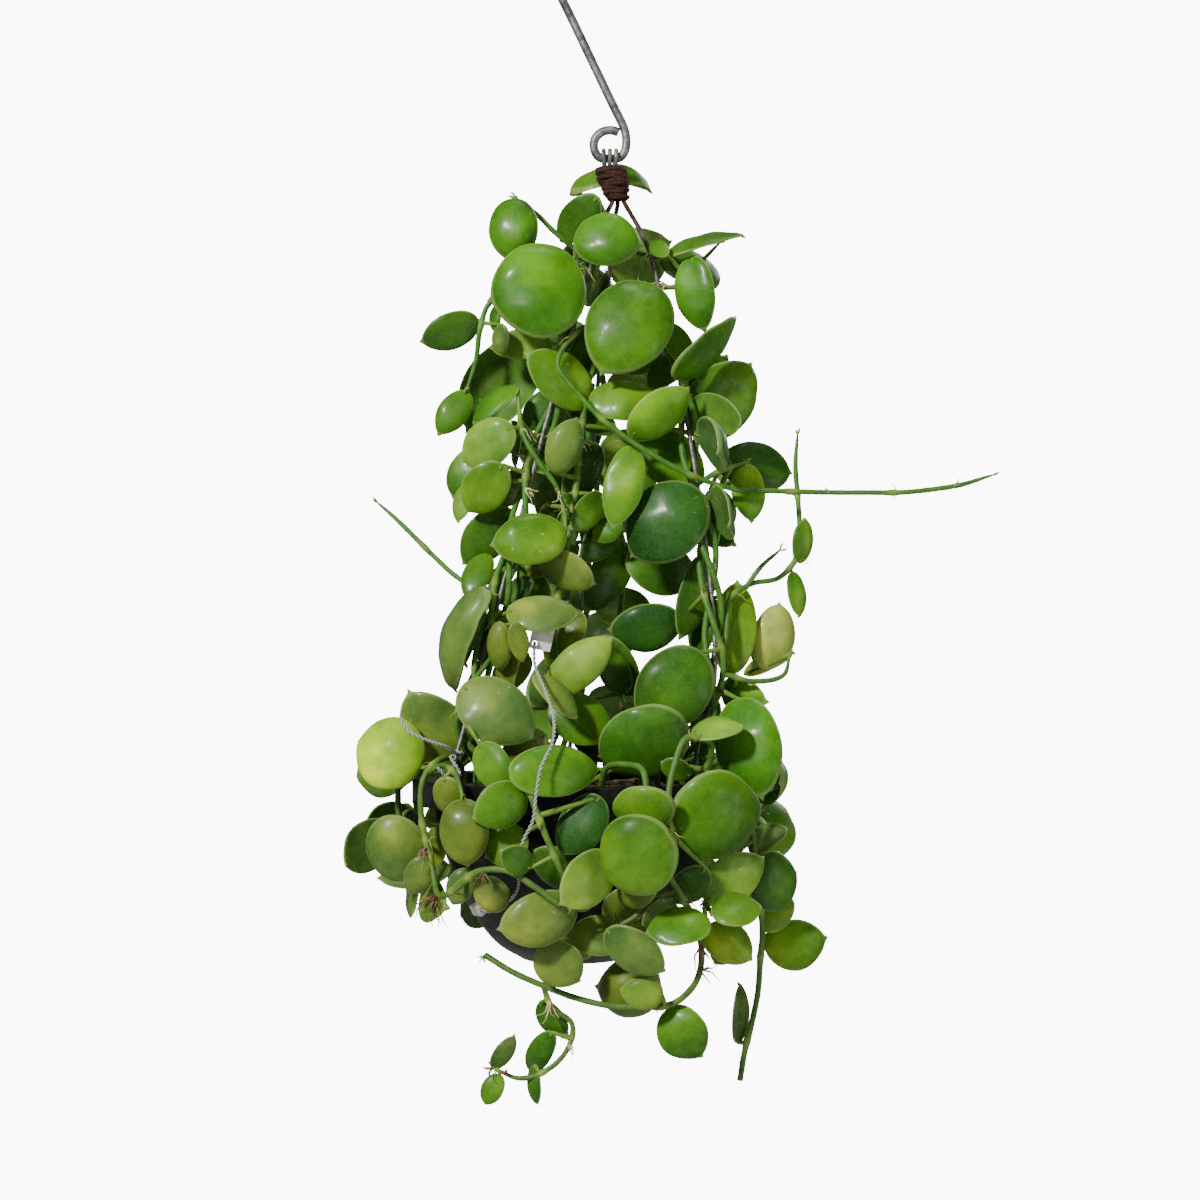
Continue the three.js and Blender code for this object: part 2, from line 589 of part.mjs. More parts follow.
function hangerRoute(name) {
  const wire = HANGER_WIRES[name];
  const [slotAcross, slotOut] = wire.strand;
  const side = wire.front;
  const bindingEnd = BINDING_TOP_DOWN + BINDING_LENGTH;
  const strand = (down, out) => at(slotAcross + leanOf(down), down, out);
  const topOut = Math.max(slotOut, STRAND_TOP_OUT);
  const points = [
    strand(bindingEnd - 1, -side * slotOut),
    strand(BINDING_TOP_DOWN + 6, -side * slotOut),
    strand(BINDING_TOP_DOWN - 0.4, -side * topOut),
  ];
  const loopSteps = 8;
  for (let i = 0; i <= loopSteps; i += 1) {
    const turn = Math.PI * (i / loopSteps);
    points.push(at(wire.across, AXIS_DOWN - LOOP_R * Math.sin(turn), -side * LOOP_R * Math.cos(turn)));
  }
  points.push(strand(BINDING_TOP_DOWN - 0.4, side * topOut));
  points.push(strand(BINDING_TOP_DOWN + 6, side * slotOut));
  points.push(strand(bindingEnd, side * slotOut));
  for (const [across, down, out] of wire.route) points.push(at(across, down, out));
  const angle = RIM_ANGLES[name];
  const footDown = RIM_DOWN + FLANGE_THICK + RUNNING_GAP + HANGER_WIRE_R;
  const footTurn = THREE.MathUtils.radToDeg(HOOK_FOOT / WIRE_HOLE_RING_R);
  points.push(aroundPot(angle, WIRE_HOLE_RING_R, RIM_DOWN - 5));
  points.push(aroundPot(angle, WIRE_HOLE_RING_R, RIM_DOWN + 1));
  points.push(aroundPot(angle, WIRE_HOLE_RING_R, footDown - 0.6));
  points.push(aroundPot(angle + footTurn * 0.2, WIRE_HOLE_RING_R, footDown));
  points.push(aroundPot(angle + footTurn, WIRE_HOLE_RING_R, footDown));
  return points;
}

// Rusty wire wound round the six strands: a lumpy sleeve that narrows downwards.
function bindingGeometry() {
  const holeR = STRAND_RING_R + HANGER_WIRE_R + 2 * SEAT_GAP;
  const waists = [0.88, 1, 0.96, 1, 0.88, 0.86, 0.74, 0.66];
  const profile = [new THREE.Vector2(holeR, 0)];
  waists.forEach((share, i) => {
    profile.push(new THREE.Vector2(BINDING_R * share, (-BINDING_LENGTH * i) / (waists.length - 1)));
  });
  profile.push(new THREE.Vector2(holeR, -BINDING_LENGTH));
  profile.push(new THREE.Vector2(holeR, 0));
  profile.reverse();
  const geometry = new THREE.LatheGeometry(profile, 12);
  geometry.rotateX(Math.PI / 2);
  geometry.translate(0, 0, -BINDING_TOP_DOWN);
  const position = geometry.attributes.position;
  for (let i = 0; i < position.count; i += 1) {
    const x = position.getX(i);
    const y = position.getY(i);
    const isOutside = Math.hypot(x, y) > holeR + 0.1;
    const swell = isOutside ? 1 + 0.06 * Math.sin(3 * Math.atan2(y, x) + 0.9 * position.getZ(i)) : 1;
    position.setX(i, x * swell + leanOf(-position.getZ(i)));
    position.setY(i, y * swell);
  }
  return geometry;
}

// Pot and potting mix

const POT_BOTTOM_DOWN = RIM_DOWN + POT_DEPTH;
// The bowl's outer wall, [radius, down], from the foot to under the flange
const BOWL = [[20, 428], [30.5, 421.5], [39.5, 410], [47, 396], [53, 379], [56, 364]];

function insideBowl(gap) {
  return BOWL.map(([radius, down], i) => [radius - gap, i === 0 ? down - gap : down - gap * 0.35]);
}

function latheAboutPot(profile, segments) {
  const geometry = new THREE.LatheGeometry(profile.map(([r, down]) => new THREE.Vector2(r, -down)), segments);
  geometry.rotateX(Math.PI / 2);
  geometry.translate(POT_ACROSS, 0, 0);
  return geometry;
}

function cylinderDown(place, radius, length, sides) {
  const geometry = new THREE.CylinderGeometry(radius, radius, length, sides);
  geometry.rotateX(Math.PI / 2);
  geometry.translate(place.x, place.y, place.z);
  return solidFromGeometry(geometry);
}

function potSolid() {
  const inner = insideBowl(POT_WALL);
  const skirtIn = RIM_R - SKIRT_THICK;
  const flangeDown = RIM_DOWN + FLANGE_THICK;
  const profile = [
    [0, POT_BOTTOM_DOWN],
    ...BOWL,
    [56, flangeDown],
    [skirtIn, flangeDown],
    [skirtIn, RIM_DOWN + RIM_SKIRT],
    [RIM_R, RIM_DOWN + RIM_SKIRT],
    [RIM_R, RIM_DOWN + 0.8],
    [RIM_R - 0.8, RIM_DOWN],
    [MOUTH_R, RIM_DOWN],
    ...inner.reverse(),
    [0, POT_BOTTOM_DOWN - POT_WALL],
  ];
  let solid = solidFromGeometry(latheAboutPot(profile, ROUND_SIDES));
  for (const angle of Object.values(RIM_ANGLES)) {
    const hole = aroundPot(angle, WIRE_HOLE_RING_R, RIM_DOWN + 1);
    solid = solid.subtract(cylinderDown(hole, WIRE_HOLE_R, 8, 8));
  }
  for (let i = 0; i < DRAIN_HOLES; i += 1) {
    const hole = aroundPot(45 + (360 * i) / DRAIN_HOLES, DRAIN_RING_R, POT_BOTTOM_DOWN);
    solid = solid.subtract(cylinderDown(hole, DRAIN_HOLE_R, 8, 10));
  }
  return solid;
}

const MIX_TOP_DOWN = RIM_DOWN + MIX_BELOW_RIM;

function mixSolid(rootPlaces) {
  const wall = insideBowl(POT_WALL + SEAT_GAP).filter((_, i) => i !== 1 && i !== 3);
  const profile = [
    [0, wall[0][1]],
    ...wall,
    [45, MIX_TOP_DOWN - 0.5],
    [34, MIX_TOP_DOWN - 1.6],
    [22, MIX_TOP_DOWN - 2.2],
    [10, MIX_TOP_DOWN - 2.6],
    [0, MIX_TOP_DOWN - 2.8],
  ];
  const geometry = latheAboutPot(profile, ROUND_SIDES);
  const position = geometry.attributes.position;
  for (let i = 0; i < position.count; i += 1) {
    const x = position.getX(i);
    const y = position.getY(i);
    const z = position.getZ(i);
    const rise = z > -MIX_TOP_DOWN ? 1.1 * Math.sin(0.55 * x) * Math.cos(0.6 * y) : 0;
    position.setZ(i, z + rise);
  }
  let solid = solidFromGeometry(geometry);
  for (const place of rootPlaces) {
    const hole = place.clone();
    hole.z = -(MIX_TOP_DOWN + ROOT_DEPTH / 2 - 4);
    solid = solid.subtract(cylinderDown(hole, STEM_R + ROOT_HOLE_GAP, ROOT_DEPTH + 12, 6));
  }
  return solid;
}

// Room taken: beads [x, y, z, radius, owner] along what is already placed. A new leaf or stem keeps
// clear of every bead that isn't its own.

const CELL = 10;
const cells = new Map();

function cellOf(value) {
  return Math.floor(value / CELL);
}

function addBead(point, radius, owner, isStem) {
  const key = `${cellOf(point.x)},${cellOf(point.y)},${cellOf(point.z)}`;
  if (!cells.has(key)) cells.set(key, []);
  cells.get(key).push({ point: point.clone(), radius, owner, isStem });
}

function addBeads(points, radius, owner, isStem = false) {
  for (const point of points) addBead(point, radius, owner, isStem);
}

// The beads that a round thing at a point touches.
function touched(point, radius) {
  const found = [];
  for (let i = -1; i <= 1; i += 1) {
    for (let j = -1; j <= 1; j += 1) {
      for (let k = -1; k <= 1; k += 1) {
        const key = `${cellOf(point.x) + i},${cellOf(point.y) + j},${cellOf(point.z) + k}`;
        for (const bead of cells.get(key) ?? []) {
          const far = bead.point.distanceTo(point);
          if (far < bead.radius + radius) found.push({ ...bead, far });
        }
      }
    }
  }
  return found;
}

// Points at equal lengths along straight runs.
function spread(points, step) {
  const lengths = points.slice(1).map((point, i) => point.distanceTo(points[i]));
  const whole = lengths.reduce((sum, length) => sum + length, 0);
  const count = Math.max(1, Math.ceil(whole / step - 1e-6));
  const found = [points[0].clone()];
  let run = 0;
  let passed = 0;
  for (let i = 1; i < count; i += 1) {
    const target = (whole * i) / count;
    while (passed + lengths[run] < target) {
      passed += lengths[run];
      run += 1;
    }
    found.push(points[run].clone().lerp(points[run + 1], (target - passed) / lengths[run]));
  }
  found.push(points[points.length - 1].clone());
  return found;
}

// The places along a route's straight runs from ring to ring.
function alongRings(rings) {
  const places = [rings[0]];
  for (let i = 1; i < rings.length; i += 1) {
    const pieces = Math.max(1, Math.round(rings[i].distanceTo(rings[i - 1]) / 3));
    for (let k = 1; k <= pieces; k += 1) places.push(rings[i - 1].clone().lerp(rings[i], k / pieces));
  }
  return places;
}

function insidePot(point, radius) {
  const down = -point.z;
  if (down < RIM_DOWN - radius || down > POT_BOTTOM_DOWN + radius) return false;
  const reach = Math.hypot(point.x - POT_ACROSS, point.y);
  if (down < RIM_DOWN + RIM_SKIRT + radius) return reach < RIM_R + radius;
  return reach < wallRadius(down) + radius * 1.2;
}

// How far a point of a stem has to move to stand clear of the pot's rim and wall.
function potPush(point, radius) {
  const reach = Math.hypot(point.x - POT_ACROSS, point.y);
  const down = -point.z;
  if (reach < MOUTH_R - radius || !insidePot(point, radius)) return new THREE.Vector3();
  if (reach < RIM_R - 1 && down < RIM_DOWN + 5) return new THREE.Vector3(0, 0, down + radius - RIM_DOWN);
  const away = new THREE.Vector3(point.x - POT_ACROSS, point.y, 0).normalize();
  return away.multiplyScalar(0.5);
}

// A stem's rings, moved until its straight runs stand clear of other stems, wires and the pot.
function bendClear(points, radius, owner, kept) {
  const rings = spread(points, STEM_STEP);
  const samples = 4;
  for (let pass = 0; pass < 24; pass += 1) {
    const moves = rings.map(() => new THREE.Vector3());
    for (let i = 0; i + 1 < rings.length; i += 1) {
      for (let k = 0; k <= samples; k += 1) {
        const share = k / samples;
        const place = rings[i].clone().lerp(rings[i + 1], share);
        const push = potPush(place, radius + STEM_MARGIN);
        for (const bead of touched(place, radius + STEM_MARGIN)) {
          if (bead.owner === owner || bead.far < 0.01) continue;
          const depth = bead.radius + radius + STEM_MARGIN - bead.far;
          push.addScaledVector(place.clone().sub(bead.point), (0.3 * depth) / bead.far);
        }
        moves[i].addScaledVector(push, 0.6 * (1 - share));
        moves[i + 1].addScaledVector(push, 0.6 * share);
      }
    }
    moves.forEach((move, i) => {
      if (i >= kept) rings[i].add(move);
    });
  }
  return rings;
}

// Stems

function climbRoute(wireName, startTurn, topDown) {
  const wire = [at(HANGER_WIRES[wireName].strand[0], 126, 0)];
  for (const [across, down, out] of HANGER_WIRES[wireName].route) wire.push(at(across, down, out));
  const line = alongRings(wire);
  const points = [];
  let last = null;
  for (const place of line.reverse()) {
    const down = -place.z;
    if (down > RIM_DOWN - 20 || down < topDown) continue;
    if (last !== null && last - down < CLIMB_STEP) continue;
    last = down;
    const turn = 2 * Math.PI * (startTurn + down / CLIMB_PITCH);
    points.push(new THREE.Vector3(
      place.x + CLIMB_OFFSET * Math.cos(turn), place.y + CLIMB_OFFSET * Math.sin(turn), place.z));
  }
  return points;
}

function rootRoute([angle, radius]) {
  return [aroundPot(angle, radius, MIX_TOP_DOWN + ROOT_DEPTH - 4), aroundPot(angle, radius, MIX_TOP_DOWN - 4),
    aroundPot(angle, radius, RIM_DOWN - 6)];
}

// The nearest place of a plant's stems from which a straight stalk to a place touches nothing else.
function joinFor(lines, place, radius, owner) {
  const choices = lines.flat();
  const fars = new Map(choices.map((choice) => [choice, choice.distanceTo(place)]));
  choices.sort((a, b) => fars.get(a) - fars.get(b));
  const isClear = (from) => spread([from, place], 2).slice(1)
    .every((point) => touched(point, radius).every((bead) => bead.owner === owner));
  return choices.slice(0, JOIN_CHOICES).find(isClear) ?? choices[0];
}

// Leaves

function crossed(a, b) {
  return new THREE.Vector3().crossVectors(a, b);
}

// A leaf's own frame: its base, the way it points, the way its face looks and its side.
function leafFrame(base, tip, towards) {
  const along = tip.clone().sub(base);
  const length = along.length();
  along.normalize();
  const face = towards.clone().addScaledVector(along, -towards.dot(along)).normalize();
  return { base, along, face, side: crossed(face, along), length };
}

function frontLeaf([a0, d0, a1, d1, width, out, lean, roll, kind], shift, tilt, share) {
  const base = seen([a0, d0, out + shift - (lean + tilt) / 2]);
  const tip = seen([a1, d1, out + shift + (lean + tilt) / 2]);
  tip.lerp(base, 1 - share);
  const leaf = leafFrame(base, tip, new THREE.Vector3(0, -1, 0));
  const turn = radians(roll);
  const face = leaf.face.clone().multiplyScalar(Math.cos(turn));
  face.addScaledVector(crossed(leaf.along, leaf.face), Math.sin(turn));
  return { ...leaf, face, side: crossed(face, leaf.along), width: width * share, kind };
}

function outline(t) {
  const u = (t - 0.47) / 0.49;
  return Math.abs(u) < 1 ? (1 - u * u) ** 0.46 : 0;
}

function leafPoint(leaf, t, s, lift) {
  const kind = LEAF_KINDS[leaf.kind];
  const broad = outline(t);
  const rise = kind.dome * leaf.width * broad * (1 - s * s) + kind.arch * leaf.length * 4 * t * (1 - t);
  return leaf.base.clone()
    .addScaledVector(leaf.along, t * leaf.length)
    .addScaledVector(leaf.side, 0.5 * s * leaf.width * broad)
    .addScaledVector(leaf.face, rise + lift);
}

function halfThick(leaf, t) {
  const kind = LEAF_KINDS[leaf.kind];
  return 0.5 * (kind.thick + kind.share * leaf.width) * Math.sqrt(outline(t));
}

function leafBeads(leaf) {
  const found = [];
  const rows = Math.max(3, Math.ceil(leaf.length / BEAD_STEP));
  const columns = Math.max(2, Math.ceil(leaf.width / BEAD_STEP));
  for (let i = 0; i <= rows; i += 1) {
    const t = 0.03 + (0.95 * i) / rows;
    for (let j = 0; j <= columns; j += 1) {
      const s = -1 + (2 * j) / columns;
      if (i > 0 && i < rows && Math.abs(s) < 1.01) {
        const radius = halfThick(leaf, t) * (1 - s * s) + 0.3 + BEAD_MARGIN;
        found.push([leafPoint(leaf, t, s, 0), radius]);
      }
    }
  }
  found.push([leafPoint(leaf, 0.03, 0, 0), 0.6 + BEAD_MARGIN]);
  found.push([leafPoint(leaf, 0.99, 0, 0), 0.4 + BEAD_MARGIN]);
  return found;
}

function leafFits(leaf, owner, start) {
  if (-start.z > MIX_TOP_DOWN && insidePot(start, 0)) return false;
  const room = leafBeads(leaf);
  for (const point of spread([start, leaf.base], 2).slice(1)) room.push([point, PETIOLE_R + 0.5, true]);
  for (const [point, radius, isPetiole] of room) {
    if (!isPetiole && insidePot(point, radius)) return false;
    const nearBase = point.distanceTo(leaf.base) < NEAR_OWN_STEM;
    for (const bead of touched(point, radius)) {
      if (bead.owner !== owner || !(isPetiole || (bead.isStem && nearBase))) return false;
    }
  }
  return true;
}

function stalkRing(middle, way, face, radius) {
  const side = crossed(way, face).normalize().multiplyScalar(radius);
  const up = crossed(side, way).normalize().multiplyScalar(radius);
  return [middle.clone().add(side), middle.clone().add(up), middle.clone().sub(side), middle.clone().sub(up)];
}

// Stalks that leave a stem at one place differ a little in thickness, by their turn.
function leafSolid(leaf, start, turn) {
  const points = [];
  const reach = leaf.base.clone().sub(start).normalize();
  const bend = reach.clone().add(leaf.along).normalize();
  const rings = [
    stalkRing(start, reach, leaf.face, PETIOLE_R * (0.74 + 0.03 * (turn % 5))),
    stalkRing(leaf.base, bend, leaf.face, PETIOLE_R),
  ];
  for (const t of leaf.length < SMALL_LEAF ? SMALL_LEAF_STATIONS : LEAF_STATIONS) {
    const thick = halfThick(leaf, t);
    rings.push([leafPoint(leaf, t, -1, 0), leafPoint(leaf, t, 0, thick),
      leafPoint(leaf, t, 1, 0), leafPoint(leaf, t, 0, -thick)]);
  }
  for (const ring of rings) points.push(...ring);
  const tip = points.push(leafPoint(leaf, 1, 0, 0)) - 1;
  const triangles = [[0, 1, 2], [0, 2, 3]];
  for (let k = 0; k + 1 < rings.length; k += 1) {
    for (let i = 0; i < 4; i += 1) {
      const a = 4 * k + i;
      const b = 4 * k + ((i + 1) % 4);
      triangles.push([a, a + 4, b], [b, a + 4, b + 4]);
    }
  }
  const last = 4 * (rings.length - 1);
  for (let i = 0; i < 4; i += 1) triangles.push([last + i, tip, last + ((i + 1) % 4)]);
  const solid = solidFromTriangles(points, triangles);
  if (solid.volume() > 0) return solid;
  return solidFromTriangles(points, triangles.map(([a, b, c]) => [a, c, b]));
}

// A repeatable draw between 0 and 1 for the stems that the front view hides.
function draws(seed) {
  let state = seed;
  return () => {
    state = (state * 16807) % 2147483647;
    return state / 2147483647;
  };
}

// Growing

const grown = {};

function growStem(vine, name, points, radius, kept) {
  const rings = bendClear(points, radius, name, kept);
  const line = alongRings(rings);
  vine.lines.push(line);
  vine.tubes.push([rings, radius]);
  addBeads(line, radius + 0.2, name, true);
}

function startVine(name, main, shoots) {
  const vine = { lines: [], tubes: [], leaves: [], root: main[0] };
  growStem(vine, name, main, STEM_R, 2);
  for (const shoot of shoots) {
    const join = joinFor(vine.lines, shoot[0], SHOOT_R, name);
    growStem(vine, name, [join, ...shoot], SHOOT_R, 1);
  }
  grown[name] = vine;
}

function keepLeaf(name, leaf) {
  const vine = grown[name];
  const start = joinFor(vine.lines, leaf.base, PETIOLE_R, name);
  if (!leafFits(leaf, name, start)) return false;
  vine.leaves.push({ leaf, start });
  for (const [point, radius] of leafBeads(leaf)) addBead(point, radius, name, false);
  addBeads(spread([start, leaf.base], 2).slice(1), PETIOLE_R + 0.3, name);
  return true;
}

const SHIFTS = [0, 2, -2, 4, -4, 6, -6, 9, -9, 12, -12, 16, -16];
const TILTS = [0, 6, -6, 12, -12];

function placeFrontLeaf(name, entry) {
  for (let share = 1; share >= SMALLEST_SHARE; share -= 0.13) {
    for (const shift of SHIFTS) {
      for (const tilt of TILTS) {
        if (keepLeaf(name, frontLeaf(entry, shift, tilt, share))) return;
      }
    }
  }
}

// A leaf that grows from a point of a stem, away along one way, with its face towards another.
function placeGrownLeaf(name, from, way, towards, length, width, kind) {
  for (let share = 1; share >= SMALLEST_SHARE; share -= 0.2) {
    for (const lift of [0, 0.35, -0.35, 0.7, -0.7]) {
      const along = way.clone().addScaledVector(towards, lift).normalize();
      const base = from.clone().addScaledVector(along, 4);
      const tip = base.clone().addScaledVector(along, length * share);
      const leaf = { ...leafFrame(base, tip, towards), width: width * share, kind };
      if (keepLeaf(name, leaf)) return true;
    }
  }
  return false;
}

const FILL_KINDS = ['leaf', 'plump', 'leaf', 'cup', 'leaf', 'pouch'];

function placePair(name, from, sideways, towards, draw) {
  const drop = new THREE.Vector3(0, 0, -1);
  for (const hand of [1, -1]) {
    const length = 24 + 11 * draw();
    const width = length * (0.62 + 0.2 * draw());
    const kind = FILL_KINDS[Math.floor(draw() * FILL_KINDS.length)];
    const way = sideways.clone().multiplyScalar(hand).addScaledVector(towards, 0.25 + 0.4 * draw());
    way.addScaledVector(drop, 0.5 * draw() - 0.1);
    const face = towards.clone().addScaledVector(drop, 0.5 - 0.9 * draw());
    placeGrownLeaf(name, from, way, face, length, kind === 'pouch' ? width * 0.7 : width, kind);
  }
}

function rearPairs([name, highest, lowest, spacing, seed]) {
  const draw = draws(seed);
  let next = highest;
  let turn = 0;
  for (const point of [...grown[name].lines[0]].reverse()) {
    const down = -point.z;
    if (down < next || down > lowest) continue;
    next = down + spacing * (0.85 + 0.3 * draw());
    turn += 1;
    const backwards = new THREE.Vector3(0, 1, 0);
    const outwards = new THREE.Vector3(name.includes('left') ? -1 : 1, 0.2, 0);
    if (turn % 2 === 0) placePair(name, point, new THREE.Vector3(1, 0, 0), backwards, draw);
    else placePair(name, point, new THREE.Vector3(0.5, 0.85, 0), outwards, draw);
  }
}

function trail([name, angle, drop, seed]) {
  const draw = draws(seed);
  const sway = 14 * draw() - 7;
  const main = [
    ...rootRoute([angle, 44]),
    aroundPot(angle + sway * 0.3, 60, RIM_DOWN - 7),
    aroundPot(angle + sway * 0.5, 68, RIM_DOWN - 2),
    aroundPot(angle + sway * 0.7, 70, RIM_DOWN + 12),
    aroundPot(angle + sway, 67, RIM_DOWN + drop * 0.6),
    aroundPot(angle + sway * 1.3, 62, RIM_DOWN + drop),
  ];
  startVine(name, main, []);
  let next = RIM_DOWN - 6;
  let outside = false;
  return () => {
    for (const point of grown[name].lines[0]) {
      const away = new THREE.Vector3(point.x - POT_ACROSS, point.y, 0);
      if (away.length() > 58) outside = true;
      if (!outside || -point.z < next) continue;
      next = -point.z + 20 + 6 * draw();
      away.normalize();
      placePair(name, point, new THREE.Vector3(-away.y, away.x, 0), away, draw);
    }
  };
}

function backClimb([name, startTurn, topDown, rootAngle, seed]) {
  const draw = draws(seed);
  const climb = climbRoute('back', startTurn, topDown);
  startVine(name, [...rootRoute([rootAngle, 40]), ...climb], []);
  return () => {
    let next = topDown + 4;
    let turn = 0;
    for (const point of [...grown[name].lines[0]].reverse()) {
      const down = -point.z;
      if (down < next || down > RIM_DOWN - 14) continue;
      next = down + 21 + 7 * draw();
      turn += 1;
      const backwards = new THREE.Vector3(0.15, 1, 0);
      const sideways = turn % 2 === 0 ? new THREE.Vector3(1, 0, 0) : new THREE.Vector3(0.7, 0.2, 0.5);
      placePair(name, point, sideways, backwards, draw);
    }
  };
}

// Tag, clip and strings

function tagMatrix() {
  const matrix = new THREE.Matrix4().makeTranslation(seen(TAG_PLACE));
  matrix.multiply(new THREE.Matrix4().makeRotationY(-radians(TAG_LEAN_DEG)));
  return matrix.multiply(new THREE.Matrix4().makeRotationX(Math.PI / 2));
}

function drilledPlate(width, height, thickness, holeX, holeY, holeR) {
  const shape = new THREE.Shape();
  shape.moveTo(-width / 2, -height / 2);
  shape.lineTo(width / 2, -height / 2);
  shape.lineTo(width / 2, height / 2);
  shape.lineTo(-width / 2, height / 2);
  shape.closePath();
  shape.holes.push(new THREE.Path().absarc(holeX, holeY, holeR, 0, 2 * Math.PI, true));
  const options = { depth: thickness, bevelEnabled: false, curveSegments: 4 };
  const geometry = new THREE.ExtrudeGeometry(shape, options);
  geometry.translate(0, 0, -thickness / 2);
  return geometry;
}

const tagHole = [TAG_HOLE_INSET - TAG_SIZE[0] / 2, TAG_HOLE_INSET - TAG_SIZE[1] / 2];

function wallRadius(down) {
  for (let i = 1; i < BOWL.length; i += 1) {
    const [lowR, lowDown] = BOWL[i - 1];
    const [highR, highDown] = BOWL[i];
    if (down <= lowDown && down >= highDown) {
      return lowR + ((highR - lowR) * (lowDown - down)) / (lowDown - highDown);
    }
  }
  return BOWL[0][0];
}

// The clip's frame: its slope up the wall, the way out of the wall, and its length round the pot.
function clipMatrix() {
  const rise = 2;
  const foot = aroundPot(CLIP_ANGLE, wallRadius(CLIP_DOWN), CLIP_DOWN);
  const slope = aroundPot(CLIP_ANGLE, wallRadius(CLIP_DOWN - rise), CLIP_DOWN - rise).sub(foot).normalize();
  const radial = aroundPot(CLIP_ANGLE, 1, 0).sub(aroundPot(CLIP_ANGLE, 0, 0));
  const outwards = radial.addScaledVector(slope, -radial.dot(slope)).normalize();
  const length = crossed(slope, outwards);
  foot.addScaledVector(outwards, SEAT_GAP + CLIP_SIZE[1] / 2);
  return new THREE.Matrix4().makeBasis(slope, outwards, length).setPosition(foot);
}

function tagStringRoute() {
  const tag = tagMatrix();
  const clip = clipMatrix();
  const inTag = (z) => new THREE.Vector3(tagHole[0], tagHole[1], z).applyMatrix4(tag);
  const inClip = (z) => new THREE.Vector3(0, 0, z).applyMatrix4(clip);
  const side = inClip(1).x > inClip(-1).x ? 1 : -1;
  return [inTag(-2.5), inTag(0), inTag(3), ...TAG_STRING.map(seen), inClip(side * 9), inClip(side * 4),
    inClip(side * -1)];
}

// Where a hanger wire's long strand is at a level.
function wireAt(name, down) {
  const route = hangerRoute(name);
  const below = route.findLastIndex((place) => -place.z < down) + 1;
  const [high, low] = [route[below - 1], route[below]];
  return high.clone().lerp(low, (down + high.z) / (high.z - low.z));
}

function tieStringRoute() {
  const loopR = HANGER_WIRE_R + STRING_R + SEAT_GAP + 0.3;
  const loop = [];
  for (let i = 0; i <= 8; i += 1) {
    const turn = radians(-120 + 40 * i);
    const held = wireAt('left', TIE_DOWN + 0.3 * i);
    loop.push(held.add(new THREE.Vector3(loopR * Math.cos(turn), loopR * Math.sin(turn), 0)));
  }
  return [...TIE_STRING.map(seen), ...loop, ...TIE_STRING_END.map(seen)];
}

// Assembly

addPiece('hook', tube(hookRoute(), HOOK_WIRE_R, 8), 0x8d8f90, 0.42, 0.9);
addBeads(alongRings(hookRoute()), HOOK_WIRE_R + 2.5, 'hook');

for (const name of Object.keys(HANGER_WIRES)) {
  const route = hangerRoute(name);
  addPiece(`hanger_wire_${name}`, tube(route, HANGER_WIRE_R, 6), 0x7d7a74, 0.5, 0.85);
  addBeads(alongRings(route), HANGER_WIRE_R + 0.4, 'hanger');
}
addPiece('binding', bindingGeometry(), 0x4a2a1c, 0.9, 0.3);
const bindingEndDown = BINDING_TOP_DOWN + BINDING_LENGTH;
const bindingLine = [at(0, BINDING_TOP_DOWN, 0), at(leanOf(bindingEndDown), bindingEndDown, 0)];
addBeads(spread(bindingLine, 2), BINDING_R, 'binding');

const tag = drilledPlate(TAG_SIZE[0], TAG_SIZE[1], TAG_SIZE[2], tagHole[0], tagHole[1], TAG_HOLE_R);
addPiece('tag', tag.applyMatrix4(tagMatrix()), 0xeeede6, 0.8, 0);
const clip = drilledPlate(CLIP_SIZE[0], CLIP_SIZE[1], CLIP_SIZE[2], 0, 0, TAG_HOLE_R);
addPiece('clip', clip.applyMatrix4(clipMatrix()), 0xd8d8d2, 0.5, 0);
addPiece('tag_string', tube(tagStringRoute(), STRING_R, STRING_SIDES), 0xe8e8e4, 0.85, 0);
addPiece('tie_string', tube(tieStringRoute(), STRING_R, STRING_SIDES), 0xe8e8e4, 0.85, 0);
addBeads(alongRings(tagStringRoute()), STRING_R + 0.5, 'strings');
addBeads(alongRings(tieStringRoute()), STRING_R + 0.5, 'strings');
addBeads(spread([seen([-31, 297, 37]), seen([-23.5, 302, 37])], 2), 4, 'tag');
addBeads([new THREE.Vector3().applyMatrix4(clipMatrix())], 4, 'clip');

for (const [name, vine] of Object.entries(VINES)) {
  const climb = vine.climbs ? climbRoute(...vine.climbs) : vine.rises.map(seen);
  startVine(name, [...rootRoute(vine.root), ...climb], vine.shoots.map((shoot) => shoot.map(seen)));
}
const fillLater = [...BACK_CLIMBS.map(backClimb), ...POT_TRAILS.map(trail)];
for (const [name, vine] of Object.entries(VINES)) {
  for (const entry of vine.leaves) placeFrontLeaf(name, entry);
}
for (const [name, leaves] of Object.entries(FILLERS)) {
  for (const entry of leaves) placeFrontLeaf(name, entry);
}
REAR_PAIRS.forEach(rearPairs);
fillLater.forEach((fill) => fill());

addPiece('pot', geometryFromSolid(potSolid()), 0x1c1d1e, 0.5, 0);
const rootPlaces = Object.values(grown).map((vine) => vine.root);
addPiece('potting_mix', geometryFromSolid(mixSolid(rootPlaces)), 0x3a2a1d, 0.95, 0);

for (const [name, vine] of Object.entries(grown)) {
  const stems = vine.tubes.map(([rings, radius]) => solidFromGeometry(tube(rings, radius, STEM_SIDES)));
  const leaves = vine.leaves.map(({ leaf, start }, turn) => leafSolid(leaf, start, turn));
  // Fused, with a hollow between them filled: the outer skin is the largest of the bodies.
  const bodies = wasm.Manifold.union([...stems, ...leaves]).decompose();
  const whole = bodies.reduce((best, body) => (body.volume() > best.volume() ? body : best));
  addPiece(name, geometryFromSolid(whole), 0x5f8f2c, 0.45, 0);
}

export default part;
